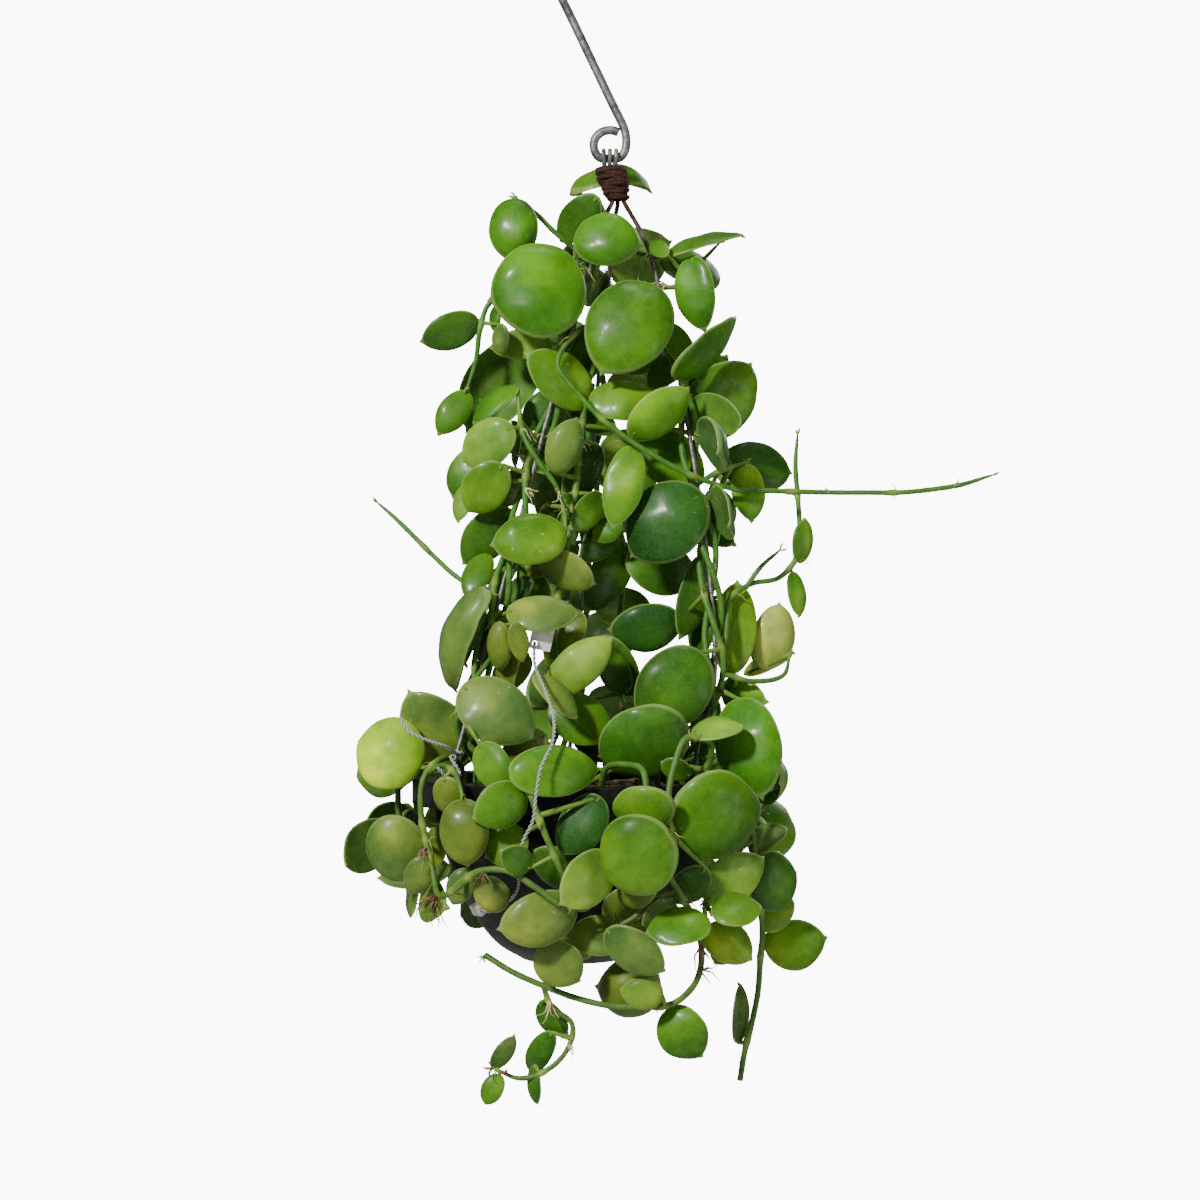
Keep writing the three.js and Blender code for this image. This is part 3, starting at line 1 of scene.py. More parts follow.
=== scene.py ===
"""A hanging pot of Dischidia vidalii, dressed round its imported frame: plump leaves with a small point,
green stems with pale roots at their nodes, a black bowl of bark, wires, a galvanised hook and strings.
Places and routes are written in millimetres as in the part's source and turned into metres for Blender."""
import math
from contextlib import contextmanager
from itertools import product

import bpy
import numpy as np
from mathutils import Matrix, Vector
from mathutils.bvhtree import BVHTree
from mathutils.kdtree import KDTree


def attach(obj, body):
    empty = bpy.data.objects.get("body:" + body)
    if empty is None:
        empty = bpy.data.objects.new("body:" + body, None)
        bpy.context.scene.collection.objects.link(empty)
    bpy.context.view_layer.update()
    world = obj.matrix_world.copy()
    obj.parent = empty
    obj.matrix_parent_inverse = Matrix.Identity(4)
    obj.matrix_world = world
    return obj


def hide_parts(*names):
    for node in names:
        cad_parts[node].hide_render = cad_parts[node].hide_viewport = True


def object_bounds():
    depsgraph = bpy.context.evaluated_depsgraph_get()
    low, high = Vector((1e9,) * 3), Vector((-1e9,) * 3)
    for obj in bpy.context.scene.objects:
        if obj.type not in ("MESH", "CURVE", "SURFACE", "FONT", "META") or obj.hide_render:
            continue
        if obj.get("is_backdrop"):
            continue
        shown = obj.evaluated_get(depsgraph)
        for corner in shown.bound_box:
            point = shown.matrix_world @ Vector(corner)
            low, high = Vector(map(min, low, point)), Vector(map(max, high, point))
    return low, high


bl_info = {
    "name": "Hanging Dischidia",
    "version": (1, 0, 0),
    "blender": (4, 5, 0),
    "location": "View3D > Sidebar > Hanging Dischidia",
    "description": "Builds the leaves, stems, pot, wires and strings of a hanging plant round its frame",
    "category": "Add Mesh",
}

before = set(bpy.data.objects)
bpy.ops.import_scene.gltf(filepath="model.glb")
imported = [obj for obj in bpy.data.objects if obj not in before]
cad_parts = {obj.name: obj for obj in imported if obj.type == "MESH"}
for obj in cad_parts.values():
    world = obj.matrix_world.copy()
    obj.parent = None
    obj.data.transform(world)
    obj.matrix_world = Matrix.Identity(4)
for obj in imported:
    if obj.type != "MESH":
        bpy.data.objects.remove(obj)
CAD_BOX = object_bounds()
MM = 0.001
PLANT_BODY = "pot"
HOOK_BODY = "hook"

# Camera: level with the middle of the plant. The photograph is square.
VIEW_DISTANCE = 1100.0
VIEW_ACROSS = -4.0
VIEW_DOWN = 285.0
VIEW_WIDTH = 480.0
SENSOR_WIDTH = 36.0

# Hook, hanger and pot, as in the part's source
HOOK_WIRE_R = 1.8
CROOK_R = 26.0
CROOK_TIP_DEG = -20.0
SHANK_LEAN_DEG = 25.5
SHANK_DROP = 52.0
EYE_DOWN = 103.2
EYE_HALF_WIDTH = 6.4
EYE_HALF_HEIGHT = 5.2
HANGER_WIRE_R = 0.95
RUNNING_GAP = 0.4
STRAND_RING_R = 2.35
STRAND_TOP_OUT = 1.65
BINDING_TOP_DOWN = 112.0
BINDING_LENGTH = 13.0
BINDING_R = 7
BINDING_WAISTS = [0.88, 1, 0.96, 1, 0.88, 0.86, 0.74, 0.66]
BINDING_LEAN = 0.24
POT_ACROSS = -15.0
RIM_R = 64.0
MOUTH_R = 54.0
RIM_DOWN = 356.0
RIM_SKIRT = 10.0
FLANGE_THICK = 2.0
SKIRT_THICK = 2.0
POT_DEPTH = 72.0
POT_WALL = 2.0
POT_BOTTOM_DOWN = RIM_DOWN + POT_DEPTH
WIRE_HOLE_R = 1.35
WIRE_HOLE_RING_R = 59.0
HOOK_FOOT = 5.0
LOOP_STEPS = 8
DRAIN_HOLE_R = 2.5
DRAIN_RING_R = 11.0
DRAIN_HOLES = 4
MIX_BELOW_RIM = 6.0
MIX_TOP_DOWN = RIM_DOWN + MIX_BELOW_RIM
SEAT_GAP = 0.3
RIM_ANGLES = {"left": 141, "right": 35, "back": 268}
BOWL = [[20, 428], [30.5, 421.5], [39.5, 410], [47, 396], [53, 379], [56, 364]]
AXIS_DOWN = EYE_DOWN + EYE_HALF_HEIGHT
LOOP_R = HOOK_WIRE_R + RUNNING_GAP + HANGER_WIRE_R

# Tag, clip and strings. The routes are as seen from the front: [across, down, out].
TAG_SIZE = [8.6, 9.4, 0.8]
TAG_PLACE = [-27.3, 300.2, 37]
TAG_LEAN_DEG = -13
TAG_HOLE_INSET = 2.1
STRING_R = 0.7
STRING_LAY = 4.2
CLIP_SIZE = [4, 3.4, 6.4]
CLIP_ANGLE = 146
CLIP_DOWN = 405
CLIP_RISE = 2
TAG_STRING = [[-30, 311, 46], [-26, 321, 54], [-22.5, 332, 66], [-23, 342, 76], [-27.6, 352, 81],
              [-29.6, 363, 82], [-30.8, 373, 80], [-35, 382, 77], [-36, 391, 71], [-37.6, 402, 56]]
TIE_STRING = [[-84, 331, 60], [-81.6, 336.6, 61], [-74.4, 340.6, 60], [-66, 343.5, 54]]
TIE_STRING_END = [[-60, 355, 46], [-64, 357, 50], [-69, 352, 53]]
TIE_DOWN = 343.5

# Plants, as in the part's source
STEM_R = 1.25
SHOOT_R = 1.05
STEM_STEP = 13
PETIOLE_R = 0.9
CLIMB_OFFSET = 3.7
CLIMB_PITCH = 74
CLIMB_STEP = 8
ROOT_DEPTH = 14
STEM_MARGIN = 0.45
BEND_REACH = 30
BEND_ROUNDS = 24
JOIN_CHOICES = 26
LEAF_KINDS = {
    "leaf": {"thick": 1.7, "share": 0.03, "dome": 0.1, "arch": 0.06, "swell": 0.55},
    "plump": {"thick": 2.4, "share": 0.09, "dome": 0.13, "arch": 0.08, "swell": 0.7},
    "pouch": {"thick": 2, "share": 0.36, "dome": 0.08, "arch": 0.05, "swell": 1.0},
    "cup": {"thick": 1.7, "share": 0.02, "dome": 0.3, "arch": 0.1, "swell": 1.0},
}
LEAF_SHRINK = 0.13
SHARES = [1 - LEAF_SHRINK * step for step in range(4)]
SHIFTS = [0, 2, -2, 4, -4, 6, -6, 9, -9, 12, -12, 16, -16]
TILTS = [0, 6, -6, 12, -12]
GROWN_SHARES = [1, 0.8, 0.6]
GROWN_LIFTS = [0, 0.35, -0.35, 0.7, -0.7]
FILL_KINDS = ["leaf", "plump", "leaf", "cup", "leaf", "pouch"]
# Among these tints the two darkest greens are partly painted shade on the leaves that lie behind.
FILL_TINTS = ["mid", "bright", "dark", "mid", "light", "dark", "bright", "deep_shade"]
MATCH = 0.06
LEAF_BROADEST = 0.47
LEAF_HALF_RUN = 0.49

HANGER_WIRES = {
    "left": {
        "across": -2.5,
        "front": 1,
        "strand": [-2.05, 1.17],
        "route": [[-1.4, 131, 2.8], [-12, 168, 8.6], [-22.8, 206, 14.5], [-40, 272, 24.8], [-57, 336, 35]],
    },
    "right": {
        "across": 2.5,
        "front": 1,
        "strand": [2.05, 1.17],
        "route": [[8.6, 131.5, 2.8], [12.9, 139.5, 5], [16, 148, 7], [27.3, 197, 14], [37.2, 261, 23],
                  [39.4, 281, 26], [40.8, 305, 29.5], [39.8, 321, 32], [36, 333, 33.4], [33.6, 344, 33.8]],
    },
    "back": {
        "across": 0,
        "front": -1,
        "strand": [0, 2.35],
        "route": [[2, 132, -4.4], [-4, 188, -18.5], [-9, 246, -33], [-13.5, 310, -49.5], [-16.4, 344, -57.6]],
    },
}

# The stems and their leaves, as in the part's source. The last word of a leaf is its tint; the two darkest
# tints are partly painted shade.
VINES = {
    "vine_left_high": {
        "climbs": ["left", 0.1, 136],
        "root": [146, 44],
        "shoots": [
            [[-34, 160, 8], [-48, 166, 8], [-52, 173, 8], [-52, 181, 8], [-54, 191, 6], [-57, 200, 6]],
            [[-20, 140, 6], [-30, 130, 8], [-38, 124, 9]],
            [[-14, 150, 12], [-11, 152, 18]],
        ],
        "leaves": [
            [-38, 125, -39, 150, 20, 12, 3, 10, "pouch", "lush"],
            [-11, 157, -49, 165, 39, 24, 4, 10, "plump", "lush"],
            [-53, 173, -76, 182, 15, 8, 0, -20, "leaf", "dark"],
            [-45, 167, -46, 178, 6, 12, 0, 40, "leaf", "dark"],
            [-43, 175, -44, 187, 8, 14, 2, 30, "leaf", "grey"],
            [-57, 202, -69, 219, 13, 6, 2, 10, "leaf", "lush"],
            [-5, 124, -20, 142, 15, -7, -2, 0, "leaf", "dark"],
            [-14, 141, 13, 143, 22, 17, 3, -12, "plump", "lush"],
        ],
    },
    "vine_left_mid": {
        "climbs": ["left", 0.43, 196],
        "root": [158, 40],
        "shoots": [
            [[-36, 214, 22], [-38, 215, 23], [-35, 219, 25], [-26, 234, 27], [-20, 241, 26], [-18, 248, 24]],
            [[-60, 277, 14], [-70, 268, 10], [-84, 254, 6], [-93, 246, 4]],
        ],
        "leaves": [
            [-30, 183, -58, 218, 28, 10, 0, 165, "cup", "lush"],
            [-37, 200, -55, 215, 11, 17, 0, 40, "leaf", "lush"],
            [-39, 216, -59, 230, 19, 20, 2, 12, "leaf", "light"],
            [-43, 231, -57, 250, 18, 24, 3, -8, "leaf", "bright"],
            [-57, 239, -61, 254, 9, 14, 2, 30, "leaf", "light"],
            [-36, 220, -38, 232, 6, 16, 0, 60, "leaf", "dark"],
            [-40, 249, -59, 271, 18, 12, 0, -10, "leaf", "dark"],
            [-49, 267, -57, 285, 12, 16, 2, 20, "leaf", "mid"],
            [-18, 259, -48, 263, 21, 31, 2, 14, "plump", "bright"],
        ],
    },
    "vine_left_low": {
        "climbs": ["left", 0.77, 262],
        "root": [134, 40],
        "shoots": [
            [[-42, 292, 26], [-40, 296, 28], [-38, 303, 30]],
            [[-58, 322, 42], [-60, 330, 46]],
        ],
        "leaves": [
            [-49, 281, -62, 322, 22, 18, -4, 62, "cup", "grey"],
            [-48, 284, -58, 312, 12, 26, -2, 66, "leaf", "light"],
            [-44, 294, -44, 314, 10, 34, -2, 20, "pouch", "olive"],
            [-38, 294, -35, 310, 8, 38, -2, 0, "leaf", "olive"],
            [-59, 320, -30, 341, 25, 48, 6, -12, "leaf", "grey"],
            [-60, 350, -81, 321, 26, 38, -4, -14, "leaf", "sage"],
            [-45, 285, -31, 277, 10, 26, 2, 150, "cup", "dark"],
            [-41, 290, -12, 291, 16, 32, 3, -30, "leaf", "sage"],
        ],
    },
    "vine_right_high": {
        "climbs": ["right", 0.1, 136],
        "root": [34, 40],
        "shoots": [
            [[14, 150, 2], [-4, 130, -8], [-12, 122, -14]],
            [[-1, 159, 14], [-3, 167, 18], [-8, 175, 22], [-14, 179, 25], [-20, 183, 27], [-21, 191, 28],
                [-14, 201, 29], [-4, 212, 30], [2, 217, 30], [12, 224, 31], [28, 233, 30], [40, 238, 28],
                [52, 241, 25], [87, 242, 20], [116, 242, 16], [137, 240, 14], [153, 235, 12]],
            [[29, 159, 10], [38, 148, 8], [44, 142, 6]],
        ],
        "leaves": [
            [-15, 123, 17, 121, 23, -13, 0, -80, "cup", "lush"],
            [23, 147, 54, 139, 17, 12, -4, -68, "leaf", "lush"],
            [33, 148, 38, 178, 17, 17, 2, 22, "leaf", "lush"],
            [18, 160, -4, 195, 34, 16, 2, 10, "plump", "lush"],
            [25, 194, 51, 172, 22, 10, -2, 62, "leaf", "lush"],
            [23, 147, 16, 142, 7, 10, 0, 0, "leaf", "mid"],
        ],
    },
    "vine_right_mid": {
        "climbs": ["right", 0.43, 192],
        "root": [22, 44],
        "shoots": [
            [[20, 215, 18], [10, 219, 20], [8, 223, 22]],
            [[46, 232, 18], [54, 230, 16]],
        ],
        "leaves": [
            [-8, 205, 21, 207, 18, 20, 2, -24, "leaf", "bright"],
            [8, 219, 32, 200, 18, 24, 2, 26, "leaf", "bright"],
            [34, 219, 57, 190, 27, 8, -4, 12, "leaf", "mid"],
            [12, 222, 38, 238, 23, 18, 0, -16, "leaf", "mid"],
            [9, 224, 1, 257, 16, 26, 3, 8, "leaf", "bright"],
            [37, 243, 8, 268, 31, 22, 0, 14, "plump", "deep_shade"],
            [43, 233, 73, 234, 22, 4, -5, -16, "leaf", "dark"],
            [40, 241, 49, 256, 12, 2, 0, 10, "leaf", "dark"],
            [54, 231, 57, 254, 14, 16, 2, -12, "leaf", "bright"],
        ],
    },
    "vine_right_low": {
        "climbs": ["right", 0.77, 246],
        "root": [48, 44],
        "shoots": [
            [[48, 284, 22], [54, 279, 18], [66, 277, 14], [73, 273, 12], [75, 267, 12], [76, 252, 10],
                [74, 234, 8], [75, 219, 6]],
            [[54, 280, 18], [59, 273, 18], [68, 265, 16]],
            [[48, 316, 30], [60, 318, 28], [70, 315, 25], [75, 310, 22], [72, 307, 20]],
        ],
        "leaves": [
            [48, 314, 51, 277, 18, 20, 0, 8, "leaf", "bright"],
            [61, 312, 68, 286, 18, 8, 0, 20, "pouch", "cream"],
            [52, 325, 61, 365, 26, 44, -2, 12, "plump", "lush"],
            [45, 320, 63, 326, 15, 36, 0, 10, "leaf", "mid"],
            [76, 270, 78, 252, 9, 12, 0, 20, "leaf", "mid"],
            [73, 274, 76, 292, 8, 12, 0, -20, "leaf", "mid"],
            [37, 268, 28, 301, 14, 12, 0, -20, "leaf", "dark"],
            [39, 245, 42, 265, 11, 14, 0, 30, "leaf", "dark"],
            [28, 293, -1, 297, 20, 6, 0, -16, "plump", "deep_shade"],
            [36, 306, 13, 336, 29, 34, 4, 4, "plump", "dark"],
        ],
    },
    "vine_middle": {
        "rises": [[-18, 330, 26], [-22, 310, 22], [-22, 290, 20], [-18, 268, 18], [-14, 244, 14],
            [-12, 222, 12], [-10, 206, 14]],
        "root": [112, 30],
        "shoots": [[[-24, 316, 30], [-26, 320, 33]]],
        "leaves": [
            [-9, 206, -34, 186, 20, 20, 2, 10, "leaf", "bright"],
            [-22, 234, -13, 212, 14, 20, 2, 6, "pouch", "sage"],
            [-5, 223, -18, 248, 14, 6, 0, -10, "leaf", "dark"],
            [-3, 243, -16, 257, 12, 16, 2, -20, "leaf", "mid"],
            [2, 217, -17, 209, 11, 10, 0, 10, "leaf", "dark"],
            [-14, 336, 3, 349, 13, 20, 0, 10, "leaf", "dark"],
            [-28, 268, -6, 279, 16, 18, 2, 26, "leaf", "sage"],
            [4, 253, -7, 261, 11, 10, 0, 20, "leaf", "mid"],
            [-24, 321, 1, 300, 17, 34, 2, -10, "plump", "light"],
            [-30, 315, -13, 333, 11, 42, 0, -36, "leaf", "sage"],
        ],
    },
    "vine_middle_behind": {
        "rises": [[6, 334, 4], [2, 312, -2], [4, 290, -6], [6, 268, -8], [2, 246, -8], [-4, 228, -8]],
        "root": [68, 18],
        "shoots": [],
        "leaves": [
            [6, 262, -10, 290, 17, -4, 0, -16, "leaf", "dark"],
            [30, 334, -5, 348, 29, 52, 2, -12, "plump", "dark"],
            [4, 232, 18, 244, 15, -4, 0, 0, "leaf", "dark"],
            [7, 267, 35, 277, 22, -4, 0, -12, "leaf", "dark"],
            [-4, 300, 10, 324, 16, 4, 0, 14, "leaf", "dark"],
        ],
    },
    "vine_front_left": {
        "rises": [[-68, 348, 36], [-74, 354, 40], [-76, 365, 42], [-75, 376, 43], [-71, 391, 46],
            [-70, 402, 52], [-66, 405, 58], [-62, 401, 62], [-57, 395, 66], [-51, 393, 69], [-42, 393, 72],
            [-34, 396, 74], [-27, 403, 76], [-20, 407, 76]],
        "root": [152, 48],
        "shoots": [
            [[-66, 351, 50], [-61, 358, 58], [-59, 363, 62]],
        ],
        "leaves": [
            [-76, 352, -101, 341, 29, 28, -4, 6, "plump", "yellow"],
            [-74, 382, -98, 386, 27, 32, -6, -10, "plump", "sage"],
            [-74, 388, -80, 403, 11, 38, -4, 0, "leaf", "sage"],
            [-59, 365, -57, 392, 19, 62, 2, 12, "pouch", "olive"],
            [-66, 356, -62, 372, 13, 52, 0, 20, "leaf", "olive"],
            [-50, 396, -44, 410, 14, 60, -6, 10, "leaf", "sage"],
        ],
    },
    "vine_front": {
        "rises": [[-30, 350, 62], [-33, 354, 68], [-33, 362, 72], [-28, 372, 74], [-24, 384, 75],
            [-18, 396, 74], [-13, 405, 72]],
        "root": [104, 44],
        "shoots": [],
        "leaves": [
            [-40, 354, -4, 353, 20, 64, 2, -14, "plump", "mid"],
            [-34, 362, -55, 373, 18, 70, -2, -10, "leaf", "mid"],
            [-4, 364, -20, 387, 18, 66, 0, 10, "leaf", "deep_shade"],
            [-34, 378, -50, 388, 16, 68, -2, 14, "leaf", "mid"],
            [0, 388, -20, 407, 20, 74, -2, -18, "leaf", "light"],
            [-14, 407, -45, 417, 21, 70, -6, -6, "plump", "sage"],
            [-28, 424, -12, 438, 20, 58, -2, 20, "leaf", "sage"],
        ],
    },
    "vine_front_right": {
        "rises": [[40, 352, 58], [41, 344, 62], [38, 339, 64], [32, 338, 66], [28, 345, 68], [24, 356, 71],
            [23, 368, 74], [24, 378, 76]],
        "root": [42, 36],
        "shoots": [],
        "leaves": [
            [25, 366, 1, 370, 19, 68, 0, -20, "plump", "mid"],
            [25, 375, 61, 367, 35, 66, -10, 14, "plump", "lush"],
            [24, 379, -2, 396, 31, 80, 0, 8, "plump", "mid"],
            [33, 339, 54, 336, 18, 56, -2, -66, "leaf", "light"],
            [40, 358, 40, 376, 14, 56, -4, 0, "leaf", "mid"],
        ],
    },
    "vine_bottom": {
        "rises": [[12, 350, 64], [14, 356, 70], [16, 372, 72], [22, 392, 71], [30, 406, 68], [36, 418, 62],
            [37, 429, 58], [34, 439, 55], [27, 446, 53], [19, 448, 52], [-3, 447, 50], [-18, 443, 48],
            [-32, 437, 46], [-43, 432, 44], [-50, 427, 42]],
        "root": [76, 46],
        "shoots": [
            [[-29, 444, 46], [-21, 449, 46], [-16, 452, 46], [-14, 458, 45], [-16, 463, 45], [-19, 468, 44],
                [-25, 473, 44], [-33, 477, 43], [-43, 475, 42], [-47, 472, 42]],
            [[20, 402, 64], [10, 412, 62], [-2, 417, 60]],
        ],
        "leaves": [
            [7, 421, -18, 419, 16, 56, -2, 20, "leaf", "sage"],
            [-1, 417, 22, 434, 18, 66, -2, 24, "leaf", "grey"],
            [40, 415, 14, 418, 18, 70, -2, 46, "leaf", "mid"],
            [20, 441, -6, 440, 25, 42, 2, -14, "cup", "olive"],
            [21, 443, 4, 441, 13, 58, 0, -10, "pouch", "light"],
            [23, 449, 37, 468, 20, 48, 0, 12, "plump", "mid"],
            [-28, 446, -17, 459, 11, 40, 0, 20, "leaf", "dark"],
            [-23, 458, -32, 474, 10, 40, 0, 10, "leaf", "dark"],
            [-44, 475, -50, 487, 9, 42, 0, 14, "leaf", "mid"],
            [-47, 472, -38, 459, 8, 42, 0, 20, "leaf", "grey"],
            [-30, 471, -29, 487, 7, 42, 0, 40, "leaf", "dark"],
        ],
    },
    "vine_right_trail": {
        "rises": [[47, 350, 44], [52, 356, 48], [56, 370, 48], [58, 388, 44], [60, 404, 38], [61, 419, 32],
            [60, 430, 28], [59, 445, 24], [54, 465, 22], [52, 477, 20]],
        "root": [30, 47],
        "shoots": [
            [[52, 384, 52], [44, 400, 54], [38, 406, 54]],
        ],
        "leaves": [
            [56, 385, 71, 376, 13, 36, -4, -46, "leaf", "grey"],
            [38, 405, 62, 388, 20, 60, -4, 20, "leaf", "light"],
            [55, 400, 75, 394, 25, 38, -6, 14, "plump", "dark"],
            [41, 411, 61, 408, 17, 56, -4, -48, "leaf", "mid"],
            [72, 404, 62, 418, 12, 30, 0, 10, "leaf", "light"],
            [38, 417, 57, 429, 16, 54, -4, -14, "leaf", "light"],
            [62, 423, 87, 420, 21, 24, -4, 10, "plump", "bright"],
            [51, 462, 52, 438, 9, 20, -2, 40, "leaf", "grey"],
        ],
    },
}
FILLERS = {
    "vine_left_high": [
        [-20, 177, -10, 183, 9, 2, 0, 20, "leaf", "dark"],
    ],
    "vine_left_mid": [
        [-23.2, 201.8, -34, 217.8, 12, 6, 0, 10, "leaf", "dark"],
        [-50, 225, -63.2, 244.2, 15, 12, 0, 14, "leaf", "mid"],
        [-35.2, 233, -44, 248.2, 11, 10, 0, -20, "leaf", "olive"],
        [-31.2, 228.2, -39.2, 213, 10, 4, 0, 30, "leaf", "dark"],
        [-20, 261, -32.8, 276.2, 14, 14, 2, 12, "leaf", "sage"],
        [-26, 247, -14, 263, 15, 8, 0, -12, "leaf", "dark"],
    ],
    "vine_left_low": [
        [-39.2, 269, -51.2, 289.8, 12, 20, 0, 30, "leaf", "dark"],
        [-44.8, 289, -51.2, 312.2, 12, 24, -2, 44, "leaf", "olive"],
        [-36, 301, -40.8, 327, 13, 28, 0, 56, "cup", "olive"],
        [-32.8, 307, -46.4, 321.8, 14, 24, 0, 20, "leaf", "sage"],
        [-26, 339, -44, 352.2, 16, 46, 0, -10, "leaf", "olive"],
        [-52, 343, -40, 361, 15, 52, 0, 14, "leaf", "mid"],
    ],
    "vine_right_high": [
        [32, 183, 15.2, 201.8, 14, 0, 0, 14, "leaf", "dark"],
        [23.2, 175, 32.8, 192.2, 11, 8, 0, -14, "leaf", "mid"],
    ],
    "vine_right_mid": [
        [31.2, 205.8, 47.2, 187, 13, 0, 0, 20, "leaf", "dark"],
        [36, 253, 50, 263, 10, 6, 0, 0, "leaf", "dark"],
    ],
    "vine_right_low": [
        [40.8, 284.2, 34.4, 309.8, 12, 16, 0, 24, "leaf", "dark"],
        [54, 314.6, 74, 305.8, 9, 0, 0, -40, "leaf", "cream"],
        [42, 325, 36, 349, 13, 34, 0, 30, "leaf", "dark"],
        [50, 349, 66, 361, 14, 30, 0, 10, "leaf", "dark"],
    ],
    "vine_middle": [
        [-3.2, 175, -14, 200.2, 15, 4, 0, 12, "leaf", "dark"],
        [1.6, 255, -12, 269.8, 13, 2, 0, -10, "leaf", "dark"],
        [-12, 289.8, -24.8, 312.2, 15, 18, 0, 16, "leaf", "olive"],
        [-23.2, 325.8, 0.8, 340.2, 20, 20, 0, -14, "leaf", "mid"],
        [6.4, 321.8, -3.2, 304.2, 13, 16, 0, 20, "leaf", "dark"],
        [-20, 233, -28, 253, 12, 4, 0, 24, "leaf", "grey"],
        [-24.8, 285, -36, 269, 12, 8, 0, -20, "leaf", "dark"],
    ],
    "vine_middle_behind": [
        [32, 355, 16, 348.2, 13, 36, 0, -20, "leaf", "dark"],
        [16, 325, 23.2, 305, 14, 6, 0, 20, "leaf", "deep_shade"],
    ],
    "vine_front_left": [
        [-67.2, 375.4, -72.8, 393.8, 11, 34, 0, 24, "leaf", "olive"],
        [-56, 393, -63.2, 407, 11, 50, -2, 10, "leaf", "grey"],
    ],
    "vine_front": [
        [-10, 397.8, -31.2, 385, 16, 62, 0, -14, "leaf", "dark"],
        [-7.2, 407, -26, 397.8, 16, 66, 0, 10, "leaf", "grey"],
        [-32, 392.2, -44, 385, 11, 62, 0, 0, "leaf", "dark"],
        [-20, 417, -8, 428.2, 12, 56, 0, 10, "leaf", "sage"],
    ],
    "vine_front_right": [
        [22, 381, 12, 363, 15, 56, 0, 16, "leaf", "dark"],
        [38, 392.2, 24.8, 405.8, 14, 58, 0, -14, "leaf", "dark"],
        [18, 397, 3.2, 405, 14, 66, 0, 10, "leaf", "olive"],
    ],
    "vine_bottom": [
        [14, 401.8, -3.2, 411, 15, 66, 0, -12, "leaf", "olive"],
        [18, 407, 4, 420.2, 14, 58, 0, 16, "leaf", "sage"],
        [26, 405.8, 12.8, 415.4, 12, 62, 0, -24, "leaf", "grey"],
    ],
    "vine_right_trail": [
        [44.8, 389.8, 54, 403, 13, 46, 0, 10, "leaf", "dark"],
        [50, 417, 42, 431, 12, 46, 0, -10, "leaf", "olive"],
    ],
}

# Stems over the sides and back: [name, angle round the pot, drop below the rim, seed]
POT_TRAILS = [
    ["vine_trail_1", 206, 28, 11],
    ["vine_trail_2", 230, 46, 23],
    ["vine_trail_3", 255, 52, 37],
    ["vine_trail_4", 281, 48, 41],
    ["vine_trail_5", 307, 52, 59],
    ["vine_trail_6", 332, 46, 67],
    ["vine_trail_7", 354, 38, 73],
    ["vine_trail_8", 7, 44, 103],
    ["vine_trail_9", 178, 44, 103],
]
# Stems up the back wire: [name, first turn, how high, angle of the root, seed]
BACK_CLIMBS = [
    ["vine_back_1", 0.2, 150, 262, 83],
    ["vine_back_2", 0.7, 196, 290, 97],
]
# Pairs of leaves behind the front ones: [name, highest, lowest, spacing, seed]
REAR_PAIRS = [
    ["vine_left_high", 150, 250, 38, 5],
    ["vine_left_mid", 212, 300, 40, 7],
    ["vine_left_low", 272, 330, 36, 9],
    ["vine_right_high", 146, 250, 38, 13],
    ["vine_right_mid", 206, 300, 40, 15],
    ["vine_right_low", 240, 290, 24, 19],
]

# Leaf and stem colours in daylight, as red, green and blue from 0 to 255. The two darkest greens are partly
# painted shade: they go on leaves that lie in the shade of other leaves.
LEAF_TINTS = {
    "bright": (104, 158, 22),
    "mid": (82, 136, 20),
    "dark": (58, 110, 20),
    "deep_shade": (40, 96, 30),
    "light": (126, 170, 52),
    "grey": (92, 124, 52),
    "sage": (108, 138, 54),
    "olive": (98, 124, 38),
    "lush": (70, 130, 10),
    "cream": (172, 198, 92),
    "yellow": (166, 208, 30),
}


def vector(*values):
    return np.array(values, float)


def unit(way):
    return way / np.linalg.norm(way)


def lengths_of(ways):
    return np.linalg.norm(ways, axis=-1)


def draws(seed):
    """A repeatable draw between 0 and 1."""
    state = seed
    while True:
        state = (state * 16807) % 2147483647
        yield state / 2147483647


def either_way(draw):
    """A draw between -0.5 and 0.5."""
    return next(draw) - 0.5


def any_turn(draw):
    return 2 * math.pi * next(draw)


def at(across, down, out):
    return vector(across, -out, -down)


def seen(place):
    """The place that shows at (across, down) from the front and lies out in front of the hook."""
    across, down, out = place
    nearer = (VIEW_DISTANCE - out) / VIEW_DISTANCE
    return at(VIEW_ACROSS + (across - VIEW_ACROSS) * nearer, VIEW_DOWN + (down - VIEW_DOWN) * nearer, out)


def around_pot(angle, radius, down):
    turn = math.radians(angle)
    return at(POT_ACROSS + radius * math.cos(turn), down, radius * math.sin(turn))


def spread(points, step):
    """Points at equal lengths along straight runs."""
    points = np.array(points, float)
    lengths = lengths_of(np.diff(points, axis=0))
    whole = sum(lengths)
    count = max(1, math.ceil(whole / step - 1e-6))
    found = [points[0]]
    run = 0
    passed = 0.0
    for i in range(1, count):
        target = whole * i / count
        while passed + lengths[run] < target:
            passed += lengths[run]
            run += 1
        found.append(points[run] + (points[run + 1] - points[run]) * ((target - passed) / lengths[run]))
    found.append(points[-1])
    return np.array(found)


def along_rings(rings):
    """The places along a route's straight runs from ring to ring, about 3 mm apart."""
    places = [rings[0]]
    for start, end in zip(rings, rings[1:]):
        pieces = max(1, math.floor(lengths_of(end - start) / 3 + 0.5))
        for k in range(1, pieces + 1):
            places.append(start + (end - start) * (k / pieces))
    return np.array(places)


# Routes of the metal parts and the strings

